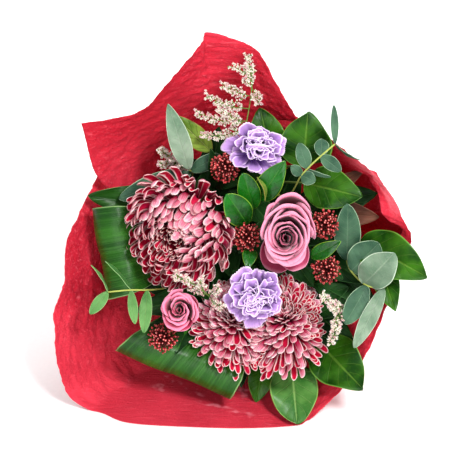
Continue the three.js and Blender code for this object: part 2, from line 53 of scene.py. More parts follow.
def seen(place):
    """A place given by how it looks from in front of the blooms, and by its height along the axis."""
    u, v, w = place
    nearer = 1 - w / VIEW_DISTANCE
    return np.array([u * nearer, v * nearer, w])


def to_world(points):
    """Points of the bouquet's own frame, in metres on the floor."""
    u, v, w = np.moveaxis(np.asarray(points, float), -1, 0)
    x = u + ORIGIN_SHIFT[0]
    y = v * COS_TILT - w * SIN_TILT + ORIGIN_SHIFT[1]
    z = v * SIN_TILT + w * COS_TILT + HEAD_HEIGHT
    return np.stack([x, y, z], -1) * MM


def height_above_floor(points):
    return to_world(points)[..., 2] / MM


# ---------------------------------------- Shapes


def unit(vectors):
    vectors = np.asarray(vectors, float)
    return vectors / np.maximum(np.linalg.norm(vectors, axis=-1, keepdims=True), 1e-9)


def lerp(a, b, share):
    return a + (b - a) * share


def smoothstep(low, high, value):
    share = np.clip((value - low) / (high - low), 0, 1)
    return share * share * (3 - 2 * share)


def around(azimuth, first, second):
    """The direction at an azimuth from first towards second."""
    return math.cos(azimuth) * first + math.sin(azimuth) * second


def normals(grid):
    """The unit normals of a grid of rows x columns points."""
    return unit(np.cross(np.gradient(grid, axis=1), np.gradient(grid, axis=0)))


def hermite(start, end, leave, arrive, f):
    """The point at a share f of a curve that leaves start along leave and arrives at end along arrive."""
    first = (1 + 2 * f) * (1 - f) ** 2 * start + f * (1 - f) ** 2 * leave
    return first + f**2 * (3 - 2 * f) * end + f**2 * (f - 1) * arrive


def spline(values, places):
    """A Catmull-Rom curve through the rows of values, at the given row places."""
    values = np.asarray(values, float)
    padded = np.concatenate([[2 * values[0] - values[1]], values, [2 * values[-1] - values[-2]]])
    places = np.asarray(places, float)
    index = np.clip(np.floor(places).astype(int), 0, len(values) - 2)
    f = (places - index).reshape(-1, *[1] * (values.ndim - 1))
    p0, p1, p2, p3 = (padded[index + k] for k in range(4))
    curve = 2 * p1 + (p2 - p0) * f + (2 * p0 - 5 * p1 + 4 * p2 - p3) * f**2
    return (curve + (3 * p1 - p0 - 3 * p2 + p3) * f**3) / 2


def smooth_line(points, count):
    """Points spaced evenly along the smooth curve through the given ones."""
    points = np.asarray(points, float)
    knots = np.concatenate([[0], np.cumsum(np.sqrt(np.linalg.norm(np.diff(points, axis=0), axis=1)))])
    slopes = np.gradient(points, knots, axis=0)
    fine = np.linspace(0, knots[-1], 16 * len(points))
    index = np.clip(np.searchsorted(knots, fine, side="right") - 1, 0, len(points) - 2)
    span = (knots[index + 1] - knots[index])[:, None]
    f = (fine[:, None] - knots[index][:, None]) / span
    curve = hermite(points[index], points[index + 1], span * slopes[index], span * slopes[index + 1], f)
    length = np.concatenate([[0], np.cumsum(np.linalg.norm(np.diff(curve, axis=0), axis=1))])
    even = np.linspace(0, length[-1], count)
    return np.stack([np.interp(even, length, curve[:, axis]) for axis in range(3)], 1)


def bumps(points, scale, octaves=3):
    """Smooth noise from -1 to 1 at each point. scale is the size of its waves, along each axis or all."""
    flat = (np.asarray(points, float) / scale).reshape(-1, 3)
    values = [noise.fractal(Vector(place), 1.0, 2.0, octaves) for place in flat.tolist()]
    return np.array(values).reshape(np.shape(points)[:-1])


def shape_values(across, along, side, chance):
    """What the materials read at each point: where it is across and along its body, which side it is on, and
    chance, which differs from body to body. On the paper, chance is how strongly a painted highlight lies on
    the crease ridges."""
    return np.stack(np.broadcast_arrays(across, along, side, chance), -1).reshape(-1, 4)


def shell(grid, thickness, chance):
    """A closed thin sheet round a grid of rows x columns points. Its upper side, with side 1, is the one
    that sees the columns run to the right as the rows run up. chance is one value or one for each point."""
    rows, columns = grid.shape[:2]
    normal = normals(grid)
    half = np.broadcast_to(np.asarray(thickness, float) / 2, (rows, columns))[..., None]
    points = np.concatenate([(grid + normal * half).reshape(-1, 3), (grid - normal * half).reshape(-1, 3)])
    index = np.arange(rows * columns).reshape(rows, columns)
    a, b, c, d = index[:-1, :-1], index[:-1, 1:], index[1:, 1:], index[1:, :-1]
    upper = np.stack([a, b, c, d], -1).reshape(-1, 4)
    lower = np.stack([a, d, c, b], -1).reshape(-1, 4) + rows * columns
    loop = np.concatenate([index[0, :-1], index[:-1, -1], index[-1, :0:-1], index[:0:-1, 0]])
    ahead = np.roll(loop, -1)
    rim = np.stack([loop + rows * columns, ahead + rows * columns, ahead, loop], -1)
    across, along = np.meshgrid(np.linspace(0, 1, columns), np.linspace(0, 1, rows))
    sides = [shape_values(across, along, side, chance) for side in (1, 0)]
    return points, [upper, lower, rim], np.concatenate(sides)


def square_to(direction):
    """A direction square to the given one."""
    return unit(np.cross(direction, (0, 0, 1) if abs(direction[2]) < 0.9 else (1, 0, 0)))


def sections(line):
    """Two directions square to a line at each of its points, which don't twist along it."""
    tangent = unit(np.gradient(line, axis=0))
    sides = [square_to(tangent[0])]
    for direction in tangent[1:]:
        sides.append(unit(sides[-1] - direction * np.dot(sides[-1], direction)))
    sides = np.array(sides)
    return sides, np.cross(tangent, sides)


def tube(line, radii, sides=8, chance=0.5):
    """A closed round tube along a line of points."""
    line = np.asarray(line, float)
    side, up = sections(line)
    radii = np.broadcast_to(radii, len(line))[:, None, None]
    turn = np.linspace(0, 2 * math.pi, sides, endpoint=False)
    turn = turn[None, :, None]
    ring = np.cos(turn) * side[:, None] + np.sin(turn) * up[:, None]
    points = (line[:, None] + ring * radii).reshape(-1, 3)
    index = np.arange(len(line) * sides).reshape(len(line), sides)
    ahead = np.roll(index, -1, axis=1)
    walls = np.stack([index[:-1], ahead[:-1], ahead[1:], index[1:]], -1).reshape(-1, 4)
    first, last = len(points), len(points) + 1
    caps = [np.stack([np.full(sides, first), ahead[0], index[0]], -1)]
    caps.append(np.stack([np.full(sides, last), index[-1], ahead[-1]], -1))
    points = np.concatenate([points, [line[0], line[-1]]])
    across, along = np.meshgrid(np.linspace(0, 1, sides), np.linspace(0, 1, len(line)))
    ends = [[0.5, 0, 0, chance], [0.5, 1, 0, chance]]
    return points, [walls, *caps], np.concatenate([shape_values(across, along, 1, chance), ends])


def ball_template(subdivisions):
    """The points and faces of a ball of radius 1."""
    mesh = bpy.data.meshes.new("ball")
    shape = bmesh.new()
    bmesh.ops.create_icosphere(shape, subdivisions=subdivisions, radius=1)
    shape.to_mesh(mesh)
    shape.free()
    points = np.array([vertex.co[:] for vertex in mesh.vertices])
    faces = np.array([face.vertices[:] for face in mesh.polygons])
    bpy.data.meshes.remove(mesh)
    return points, faces


BALLS = {level: ball_template(level) for level in (1, 2)}  # a coarse and a finer ball


def bead(place, radius, direction, stretch, chance, level=2):
    """A small round or long body. The shape values hold its height along its direction as along."""
    points, faces = BALLS[level]
    axis = unit(direction)
    side = square_to(axis)
    frame_of = np.stack([side, np.cross(axis, side), axis * stretch])
    placed = place + radius * points @ frame_of
    return placed, [faces], shape_values(0.5, (points[:, 2] + 1) / 2, 1, chance)


def linked(name, data):
    made = bpy.data.objects.new(name, data)
    bpy.context.scene.collection.objects.link(made)
    return made


class Piece:
    """Gathers the closed bodies of one piece, and makes its object."""

    def __init__(self):
        self.points = []
        self.faces = []
        self.shapes = []
        self.slots = []
        self.count = 0

    def add(self, body, slot=0):
        points, blocks, shape = body
        turned = signed_volume(points, blocks) < 0
        self.points.append(points)
        self.shapes.append(shape)
        for block in blocks:
            block = (block[:, ::-1] if turned else block) + self.count
            self.faces.extend(block.tolist())
            self.slots.extend([slot] * len(block))
        self.count += len(points)

    def build(self, name, materials, slot, *nodes):
        mesh = bpy.data.meshes.new(name)
        mesh.from_pydata(to_world(np.concatenate(self.points)), [], self.faces)
        attribute = mesh.attributes.new("shape", "FLOAT_COLOR", "POINT")
        attribute.data.foreach_set("color", np.concatenate(self.shapes).ravel())
        for material in materials:
            mesh.materials.append(material)
        mesh.polygons.foreach_set("material_index", self.slots)
        mesh.shade_smooth()
        piece = linked(name, mesh)
        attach(piece, "root")
        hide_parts(*nodes)
        return piece


def signed_volume(points, blocks):
    """Six times the volume that the faces enclose, below 0 where they face inwards."""
    total = 0.0
    for block in blocks:
        for second in range(1, block.shape[1] - 1):
            a, b, c = points[block[:, 0]], points[block[:, second]], points[block[:, second + 1]]
            total += np.einsum("ij,ij->", a, np.cross(b, c))
    return total


# ---------------------------------------- Materials


def rgb(red, green, blue):
    """A colour given as it looks on a screen, 0 to 255, in the renderer's own terms."""
    def linear(value):
        value /= 255
        return value / 12.92 if value <= 0.04045 else ((value + 0.055) / 1.055) ** 2.4
    return tuple(linear(value) for value in (red, green, blue))


SPECULAR = 0.16
GLOW_SOCKETS = ("Subsurface_Weight", "Subsurface_Scale", "Subsurface_Radius")


class Graph:
    """A material laid on in coats of colour, and short calls for the nodes that the materials share."""

    def __init__(self, name):
        self.material = bpy.data.materials.new(name)
        self.material.use_nodes = True
        self.tree = self.material.node_tree
        self.tree.nodes.clear()
        attribute = self.node("ShaderNodeAttribute", {"attribute_name": "shape"})
        parts = self.node("ShaderNodeSeparateXYZ", {}, {0: attribute.outputs["Vector"]})
        self.across, self.along, self.side = parts.outputs
        self.chance = attribute.outputs["Alpha"]
        self.place = self.node("ShaderNodeTexCoord").outputs["Object"]
        self.edge = self.math("ABSOLUTE", self.math("MULTIPLY_ADD", self.across, 2.0, -1.0))
        self.colour = None

    def node(self, kind, settings=None, inputs=None):
        node = self.tree.nodes.new(kind)
        for key, value in (settings or {}).items():
            setattr(node, key, value)
        for key, value in (inputs or {}).items():
            self.feed(node.inputs[key], value)
        return node

    def feed(self, socket, value):
        """Links a socket or sets a value. Three values for a colour are one as it looks on a screen."""
        if isinstance(value, bpy.types.NodeSocket):
            self.tree.links.new(value, socket)
        elif isinstance(value, tuple) and len(value) == 3 and len(socket.default_value) == 4:
            socket.default_value = (*rgb(*value), 1)
        else:
            socket.default_value = value

    def math(self, operation, a, b=0.0, c=0.0):
        node = self.node("ShaderNodeMath", {"operation": operation})
        for socket, value in zip(node.inputs, (a, b, c)):
            self.feed(socket, value)
        return node.outputs[0]

    def times(self, a, b):
        return self.math("MULTIPLY", a, b)

    def ramp(self, value, low, high, start=0.0, end=1.0):
        settings = {"interpolation_type": "SMOOTHSTEP"}
        inputs = {"Value": value, "From Min": low, "From Max": high, "To Min": start, "To Max": end}
        return self.node("ShaderNodeMapRange", settings, inputs).outputs["Result"]

    def mix(self, share, a, b):
        inputs = {0: share, 6: a, 7: b}
        return self.node("ShaderNodeMix", {"data_type": "RGBA"}, inputs).outputs[2]

    def over(self, share, colour):
        """Lays a colour over what is there so far."""
        self.colour = self.mix(share, self.colour, colour)

    def coat(self, colour, value, low, high, most=1.0):
        """Lays a colour on where a value goes from low to high, up to a share of most."""
        self.over(self.ramp(value, low, high, 0.0, most), colour)

    def stretched(self, scale):
        return self.node("ShaderNodeMapping", {}, {"Vector": self.place, "Scale": scale}).outputs[0]

    def drawn_out(self, across, along, chance):
        """A vector that runs so many units across and along a body, and so many from chance 0 to 1."""
        inputs = {0: self.times(self.across, across), 1: self.times(self.along, along),
                  2: self.times(self.chance, chance)}
        return self.node("ShaderNodeCombineXYZ", {}, inputs).outputs[0]

    def noise(self, scale, detail=3.0, rough=0.55, vector=None, distortion=0.0):
        inputs = {"Vector": vector or self.place, "Scale": scale, "Detail": detail, "Roughness": rough,
                  "Distortion": distortion}
        return self.node("ShaderNodeTexNoise", {}, inputs).outputs["Fac"]

    def lines(self, value, count, width):
        """1 on evenly spaced lines of a value, 0 between them."""
        off = self.math("PINGPONG", self.times(value, count), 0.5)
        return self.ramp(off, 0.0, width, 1.0, 0.0)

    def finish(self, roughness, height=None, depth=0.0005, glow=(), **sockets):
        """The surface. height is its relief, depth how deep that is in metres, and glow the values for
        GLOW_SOCKETS."""
        inputs = {"Base Color": self.colour, "Roughness": roughness}
        shader = self.node("ShaderNodeBsdfPrincipled", {}, inputs)
        shader.inputs["Specular IOR Level"].default_value = SPECULAR
        for key, value in {**dict(zip(GLOW_SOCKETS, glow)), **sockets}.items():
            self.feed(shader.inputs[key.replace("_", " ")], value)
        if height is not None:
            inputs = {"Height": height, "Distance": depth, "Strength": 1.0}
            self.feed(shader.inputs["Normal"], self.node("ShaderNodeBump", {}, inputs).outputs[0])
        output = self.node("ShaderNodeOutputMaterial")
        self.tree.links.new(shader.outputs[0], output.inputs[0])
        return self.material


def paper_material():
    """Red fibre paper: long loose fibres and soft crinkles that run crossways, a little lighter where the
    crinkles rise as a painted highlight, and painted highlights on the higher crease ridges. It has painted
    shade at the upper left, and painted light low down and a painted highlight on the rolled lip at the
    right."""
    g = Graph("red_fibre_paper")
    crinkle = g.noise(1.0, 5.0, 0.6, g.stretched((45, 260, 260)), 0.6)
    fibre = g.noise(1.0, 6.0, 0.7, g.stretched((230, 900, 700)), 1.8)
    mottle = g.noise(380.0, 4.0, 0.7)
    cloud = g.noise(16.0, 2.0)
    x, _, height = g.node("ShaderNodeSeparateXYZ", {}, {0: g.place}).outputs
    # masks: painted shade at the upper left, and a painted highlight on the rolled lip at the right
    upper_left = g.times(g.ramp(x, -0.03, -0.1), g.ramp(height, 0.2, 0.27))
    right = g.times(g.ramp(x, 0.1, 0.135), g.ramp(height, 0.19, 0.22))
    g.colour = g.mix(g.ramp(cloud, 0.3, 0.7), (176, 20, 42), (214, 46, 66))
    g.coat((238, 92, 108), mottle, 0.52, 0.72, 0.45)
    # painted highlight: lighter where the crinkle pattern rises
    g.coat((242, 104, 118), crinkle, 0.55, 0.75, 0.5)
    # painted shade over the upper left of the paper
    g.over(g.times(upper_left, g.ramp(cloud, 0.3, 0.6, 0.35, 0.8)), (170, 20, 38))
    # painted light on the paper low down, near the floor
    g.coat((230, 62, 82), height, 0.1, 0.02, 0.4)
    # painted highlight on the rolled lip at the right
    g.over(g.times(right, g.ramp(g.along, 0.74, 0.82, 0.0, 0.6)), (244, 116, 128))
    g.coat((140, 2, 20), fibre, 0.42, 0.28, 0.7)
    # painted highlight on the higher crease ridges, which chance carries
    g.coat((246, 136, 150), g.chance, 0.15, 0.9, 0.55)
    relief = g.math("MULTIPLY_ADD", fibre, 0.5, g.math("MULTIPLY_ADD", mottle, 0.5, crinkle))
    return g.finish(g.ramp(fibre, 0.3, 0.7, 0.6, 0.8), relief, 0.0015, (0.12, 0.003, (1.0, 0.25, 0.25)))


def chrysanthemum_material():
    """Crimson inside the ray and silvery pink outside, with a pale rim and fine lengthwise streaks. The rays
    of an eye, marked by EYE_CHANCE, are crimson with cream tips."""
    g = Graph("chrysanthemum_petal")
    streak = g.noise(1.0, 3.0, 0.6, g.drawn_out(16.0, 1.6, 40.0))
    # inside: darkest crimson towards the base, partly the ray's own colour and partly painted shade deep
    # between the rays
    g.colour = g.mix(g.ramp(g.along, 0.0, 0.6), (84, 0, 18), (198, 14, 56))
    g.coat((206, 60, 92), streak, 0.45, 0.7, 0.35)
    rim = g.times(g.ramp(g.edge, 0.58, 0.82), g.ramp(g.along, 0.13, 0.44))
    g.over(g.math("MAXIMUM", rim, g.ramp(g.along, 0.86, 0.97)), (254, 216, 214))
    inside = g.colour
    # outside: darkest towards the base, partly the ray's own colour and partly painted shade deep between the
    # rays
    g.colour = g.mix(g.ramp(g.along, 0.2, 0.56), (56, 0, 16), (166, 18, 62))
    g.coat((230, 158, 178), g.along, 0.52, 0.82)
    g.coat((172, 30, 74), streak, 0.42, 0.66, 0.66)
    rib = g.times(g.ramp(g.edge, 0.34, 0.02), g.ramp(g.along, 1.0, 0.6))
    g.over(g.times(rib, 0.4), (172, 46, 84))
    g.over(g.times(g.ramp(g.edge, 0.62, 0.84, 0.0, 0.95), g.ramp(g.along, 0.3, 0.6)), (252, 214, 216))
    g.coat((250, 226, 218), g.along, 0.8, 1.0, 0.7)
    g.coat(inside, g.side, 0.35, 0.65)
    g.coat((160, 8, 54), g.chance, 0.2, 0.85, 0.5)
    eye = g.mix(g.ramp(g.along, 0.78, 0.96), (128, 4, 32), (254, 212, 202))
    g.coat(eye, g.chance, 0.9, 0.95)
    return g.finish(0.52, streak, 0.0004, (0.25, 0.002, (1.0, 0.3, 0.35)))


def rose_material(name, deep, middle, pale):
    """Velvety petals, deep near the base and pale along the rim, with veins that fan out."""
    g = Graph(name)
    veins = g.noise(1.0, 4.0, 0.6, g.drawn_out(26.0, 2.0, 30.0))
    g.colour = g.mix(g.ramp(g.along, 0.2, 0.9), middle, pale)
    g.over(g.ramp(g.side, 0.35, 0.65), g.mix(g.ramp(g.along, 0.25, 0.8), deep, middle))
    # the pale rim is weaker on the inner petals, which keeps the hollow in painted shade
    g.over(g.times(g.ramp(g.along, 0.72, 0.92, 0.0, 0.85), g.ramp(g.chance, 0.6, 1.1, 1.0, 0.4)), pale)
    g.coat(pale, g.edge, 0.9, 1.0, 0.4)
    g.coat(deep, veins, 0.48, 0.78, 0.25)
    # painted shade: the inner petals, whose chance is high, are deeper, darkening the hollow of the rose
    g.coat(deep, g.chance, 0.3, 1.0, 0.6)
    glow = (0.15, 0.002, (1.0, 0.4, 0.6))
    return g.finish(0.55, veins, 0.0003, glow, Sheen_Weight=0.25, Sheen_Roughness=0.4)


def carnation_material():
    """Lavender petals, painted dark violet towards their base as shade deep in the flower, and almost white
    along the toothed rim.
    """
    g = Graph("carnation_petal")
    veins = g.noise(1.0, 4.0, 0.6, g.drawn_out(30.0, 2.2, 30.0))
    # painted shade: dark violet towards the base of each petal, deep in the flower
    g.colour = g.mix(g.ramp(g.along, 0.46, 0.98), (64, 10, 106), (192, 152, 212))
    g.coat((172, 130, 204), veins, 0.42, 0.7, 0.35)
    g.coat((238, 222, 242), g.along, 0.92, 1.0, 0.7)
    glow = (0.15, 0.002, (0.6, 0.5, 1.0))
    return g.finish(0.6, veins, 0.0003, glow, Sheen_Weight=0.2, Sheen_Roughness=0.5)


def bud_material():
    """Skimmia buds: red and glossy, a little paler at the top as a painted highlight, and darker where they
    meet their stalks as painted shade.
    """
    g = Graph("skimmia_bud")
    speck = g.noise(900.0, 2.0)
    g.colour = g.mix(g.chance, (110, 8, 22), (188, 50, 54))
    # painted shade low on each bud, where it meets its stalk, and a painted highlight on its top
    g.coat((50, 2, 10), g.along, 0.55, 0.1, 0.85)
    g.coat((250, 176, 164), g.along, 0.84, 1.0, 0.75)
    g.coat((240, 130, 110), speck, 0.5, 0.75, 0.3)
    return g.finish(0.38, speck, 0.0001, Coat_Weight=0.2, Coat_Roughness=0.25)


def leaf_material(name, dark, light, vein, rim, under, vein_pairs=6.0, slant=0.9, roughness=0.42,
                  rim_width=0.03, coat=0.1, veined=0.22):
    """A broad leaf: a midrib, side veins that slant forward, a net of fine veins and a rim of its own colour.
    veined is how strongly the veins show."""
    g = Graph(name)
    forward = g.math("MULTIPLY_ADD", g.math("POWER", g.edge, 0.85), -slant / vein_pairs * 2, g.along)
    side_veins = g.times(g.lines(forward, vein_pairs, 0.08), g.ramp(g.edge, 1.0, 0.72))
    midrib = g.ramp(g.edge, 0.02, 0.075, 1.0, 0.0)
    net = g.noise(420.0, 3.0, 0.6)
    g.colour = g.mix(g.ramp(g.noise(38.0, 2.0), 0.32, 0.68), dark, light)
    g.coat(dark, g.chance, 0.0, 1.0, 0.35)
    g.coat(light, net, 0.5, 0.72, 0.3)
    g.over(g.times(side_veins, veined), vein)
    g.over(g.times(midrib, 2.5 * veined), vein)
    g.over(g.ramp(g.edge, 1.0 - rim_width * 2, 1.0 - rim_width, 0.0, 0.85), rim)
    g.coat(under, g.side, 0.65, 0.35, 0.75)
    grooves = g.math("MULTIPLY_ADD", side_veins, -3.5 * veined, g.times(midrib, -4.0 * veined))
    relief = g.math("MULTIPLY_ADD", net, 0.5, grooves)
    rough = g.ramp(net, 0.3, 0.7, roughness - 0.06, roughness + 0.08)
    glow = (0.05, 0.001, (0.3, 1.0, 0.2))
    return g.finish(rough, relief, 0.0007, glow, Coat_Weight=coat, Coat_Roughness=0.25)


def strap_material():
    """An aspidistra blade: many fine veins side by side along the leaf, and broad light and dark bands."""
    g = Graph("aspidistra_blade")
    long_way = g.drawn_out(46.0, 1.2, 1.0)
    fine = g.noise(1.0, 4.0, 0.6, long_way)
    broad = g.noise(0.12, 2.0, 0.5, long_way)
    ribs = g.lines(g.across, 44.0, 0.3)
    g.colour = g.mix(g.ramp(broad, 0.3, 0.7), (12, 56, 6), (40, 96, 18))
    g.coat((74, 132, 52), fine, 0.45, 0.75, 0.35)
    g.over(g.times(ribs, 0.12), (20, 70, 20))
    g.coat((150, 186, 120), g.edge, 0.975, 0.99, 0.8)
    g.coat((50, 102, 42), g.side, 0.65, 0.35, 0.5)
    relief = g.math("MULTIPLY_ADD", ribs, -0.5, fine)
    return g.finish(g.ramp(fine, 0.3, 0.7, 0.36, 0.5), relief, Coat_Weight=0.15, Coat_Roughness=0.3)


def stem_material(name, young, old, cut=(206, 206, 158)):
    """Stems with lengthwise streaks, and pale where they are cut."""
    g = Graph(name)
    streak = g.noise(1.0, 3.0, 0.6, g.drawn_out(18.0, 8.0, 9.0))
    g.colour = g.mix(g.ramp(streak, 0.3, 0.7), old, young)
    g.coat(cut, g.side, 0.9, 0.2)
    return g.finish(0.5, streak, 0.0004)


def floret_material():
    """Papery limonium florets: cream, some with a pink flush, and green at the foot."""
    g = Graph("limonium_floret")
    crease = g.noise(1400.0, 2.0)
    g.colour = g.mix(g.ramp(g.chance, 0.3, 0.9), (238, 228, 216), (214, 164, 172))
    g.coat((138, 138, 84), g.along, 0.62, 0.1, 0.85)
    g.coat((190, 150, 130), crease, 0.5, 0.8, 0.3)
    return g.finish(0.7, crease, 0.0002, (0.1, 0.001))


def twine_material():
    """Jute twine: strands laid round it on a slant, with loose hairs."""
    g = Graph("jute_twine")
    strand = g.lines(g.math("MULTIPLY_ADD", g.along, 60.0, g.across), 3.0, 0.35)
    hair = g.noise(1500.0, 3.0)
    g.colour = g.mix(strand, (178, 142, 92), (116, 84, 48))
    g.coat((216, 186, 136), hair, 0.5, 0.75, 0.5)
    return g.finish(0.85, g.math("MULTIPLY_ADD", strand, -1.0, hair), 0.0006)


def floor_material():
    g = Graph("pale_floor")
    g.colour = g.ramp(g.noise(240.0, 2.0), 0.3, 0.7, 0.86, 0.88)
    return g.finish(0.8)


PAPER = paper_material()
CHRYSANTHEMUM = chrysanthemum_material()
ROSE = rose_material("rose_petal", (116, 8, 44), (182, 70, 106), (222, 150, 174))
SMALL_ROSE = rose_material("small_rose_petal", (142, 10, 46), (202, 66, 106), (232, 140, 168))
CARNATION = carnation_material()
BUD = bud_material()

# Leaf colours: dark and light patches, veins, rim and underside.
GLOSSY = leaf_material("glossy_leaf", (4, 52, 6), (18, 104, 16), (76, 140, 44), (150, 190, 60), (60, 116, 46),
                       vein_pairs=5.0, roughness=0.28, rim_width=0.025, coat=0.4, veined=0.14)
SALAL = leaf_material("salal_leaf", (10, 52, 4), (54, 106, 16), (110, 150, 56), (96, 142, 52), (92, 136, 74),
                      veined=0.16)
PALE_SALAL = leaf_material("pale_salal_leaf", (44, 96, 34), (92, 140, 66), (140, 176, 100), (130, 168, 84),
                           (110, 150, 90), veined=0.2)
OLIVE = leaf_material("olive_leaf", (88, 120, 36), (140, 162, 66), (180, 190, 110), (170, 140, 70),
                      (150, 160, 90))
WAXY = dict(vein_pairs=9.0, slant=0.7, coat=0.0, veined=0.1)
EUCALYPTUS = leaf_material("eucalyptus_leaf", (34, 68, 50), (74, 108, 82), (122, 152, 122), (168, 194, 160),
                           (130, 162, 140), roughness=0.5, **WAXY)
PALE_EUCALYPTUS = leaf_material("pale_eucalyptus_leaf", (92, 118, 94), (136, 154, 132), (168, 184, 160),
                                (200, 216, 192), (160, 184, 166), roughness=0.55, **WAXY)
GREEN_EUCALYPTUS = leaf_material("green_eucalyptus_leaf", (52, 104, 46), (98, 146, 80), (150, 180, 110),
                                 (172, 200, 140), (120, 160, 110), roughness=0.5, **WAXY)
DULL = dict(vein_pairs=5.0, roughness=0.5, rim_width=0.02, coat=0.0, veined=0.14)
FOLIAGE = leaf_material("stem_leaf", (8, 38, 10), (28, 72, 22), (70, 112, 52), (52, 98, 42), (56, 92, 52),
                        **DULL)
RUSSET = leaf_material("russet_leaf", (62, 34, 26), (110, 66, 50), (150, 100, 80), (140, 100, 80),
                       (120, 80, 64), **DULL)
STRAP = strap_material()
STEM = stem_material("flower_stem", (120, 148, 70), (74, 104, 44))
TWIG = stem_material("young_twig", (186, 196, 96), (140, 152, 74))
BRANCHLET = stem_material("bud_branchlet", (96, 36, 30), (66, 14, 18))
FLORET = floret_material()
TWINE = twine_material()

# ---------------------------------------- Where everything is

WAIST_LOW, WAIST_HIGH = -247, -229
STEM_END = -366
END_STEPS = (0, 3, 1, 4, 2)  # how much shorter the stems are cut, in turn
BUNDLE_RADIUS = 19.6
STEM_SPACE = 1.3
GATHER = 0.14  # how near the axis a stem starts at the waist, as a share of its top's distance
SWIRL = 0.25
END_TURN = -0.004  # the turn and the spread for each millimetre below the waist
END_FLARE = 0.0016
PACKING_ROUNDS = 600
STEM_STEPS = 46
FINE_STEPS = 60
JOINT_LENGTH = 0.012  # as a share of the stem
JOINT_SWELL = 0.28
NECK = 7
GAP = 0.35

SHEET_ROWS = 112
PAPER_THICKNESS = 0.35
SKIRT_END = -292
SKIRT_FLARE = 1.2
BACK_WAIST_RADIUS = 25.4
FRONT_WAIST_RADIUS = 28.2
PLEATS = 19

# Between these angles, in degrees, the front sheet's rim is rolled out flat over a wall that leans inwards.
LIP_START, LIP_END = (355, 364), (400, 388)
LIP_WIDTH = 18
LIP_LEAN = 0.8
LIP_BULGE = 1.15
LIP_MIDDLE = (162, 22)
LIP_REACH = 32

# Each station of a sheet: its place on the rim, at the knee where the paper turns outwards, and the angle at
# which it is gathered round the waist, in degrees.
BACK_SHEET = (
    ((-146, 104, -38), (-127, 46, -72), 200),
    ((-115, 108, -44), (-92, 62, -100), 186),
    ((-84, 116, -56), (-62, 80, -115), 165),
    ((-58, 145, -38), (-48, 92, -112), 145),
    ((-34, 172, -20), (-30, 105, -108), 128),
    ((-24, 186, -12), (-20, 112, -104), 118),
    ((-20, 195, -8), (-10, 118, -100), 110),
    ((11, 186, -12), (2, 116, -102), 96),
    ((31, 174, -20), (10, 110, -108), 85),
    ((49, 143, -34), (18, 108, -106), 74),
    ((71, 107, -50), (25, 102, -106), 62),
)
FRONT_SHEET = (
    ((-112, 82, -100), (-88, 50, -142), 150),
    ((-131, 47, -88), (-98, 28, -132), 160),
    ((-147, 14, -58), (-104, 8, -122), 171),
    ((-160, -15, -40), (-106, -10, -116), 182),
    ((-163, -55, -28), (-108, -34, -114), 196),
    ((-172, -84, -26), (-112, -56, -112), 207),
    ((-172, -104, -28), (-115, -72, -112), 214),
    ((-168, -141, -42), (-112, -100, -116), 226),
    ((-157, -171, -64), (-100, -128, -122), 236),
    ((-127, -188, -66), (-80, -148, -126), 246),
    ((-99, -197, -50), (-58, -158, -124), 256),
    ((-40, -201, -44), (-24, -162, -120), 268),
    ((20, -202, -42), (14, -162, -120), 280),
    ((70, -199, -46), (46, -156, -122), 293),
    ((81, -192, -52), (62, -146, -122), 301),
    ((113, -165, -46), (82, -120, -118), 311),
    ((134, -136, -40), (96, -92, -114), 322),
    ((145, -114, -36), (104, -76, -112), 330),
    ((161, -74, -32), (116, -48, -108), 343),
    ((176, -40, -28), (134, -26, -92), 355),
    ((184, -11, -22), (174, -6, -31), 363),
    ((180, 0, -19), (160, 8, -28), 367),
    ((175, 10, -16), (155, 14, -26), 371),
    ((170, 22, -15), (153, 22, -26), 376),
    ((161, 36, -14), (151, 34, -27), 381),
    ((152, 48, -15), (144, 46, -30), 386),
    ((143, 57, -16), (136, 54, -36), 391),
    ((116, 78, -28), (98, 64, -80), 402),
    ((94, 95, -46), (72, 76, -108), 413),
    ((40, 128, -122), (0, 96, -168), 440),
)

# Each bloom: kind, middle, lowest and highest w.
BLOOMS = {
    "chrysanthemum_left": ("chrysanthemum", (-44, -2), -50, 20),
    "chrysanthemum_lower": ("chrysanthemum", (4, -108), -70, -16),
    "chrysanthemum_right": ("chrysanthemum", (75, -96), -68, -10),
    "rose_large": ("rose", (58, -6), -36, 26),
    "rose_small": ("rose", (-45, -83), -30, 14),
    "carnation_upper": ("carnation", (29, 77), -38, 22),
    "carnation_lower": ("carnation", (30, -67), -36, 30),
}
BLOOM_STEM_RADII = {"chrysanthemum": 2.8, "rose": 2.6, "carnation": 1.9}

CLUSTERS = {
    "skimmia_top": (-2, 60, -14),
    "skimmia_middle": (20, -10, -17),
    "skimmia_right": (98, 3, -16),
    "skimmia_right_lower": (100, -42, -18),
    "skimmia_lower_left": (-64, -111, -20),
}
CLUSTER_DEPTH = 9
CLUSTER_STEM_RADIUS = 1.5


def ovate(share):
    return 0.03 + 0.97 * np.sin(math.pi * share**0.8) ** 0.75


def rounded(share):
    return 0.05 + 0.95 * np.sin(math.pi * share) ** 0.6


def tapered(share):
    return smoothstep(0, 0.3, share) * (1.001 - share) ** 0.6


def slender(share):
    return 0.05 + 0.95 * np.sin(math.pi * share**1.2)


def leaf_at(base, tip, width, **shape):
    return dict(base=base, tip=tip, width=width, **shape)


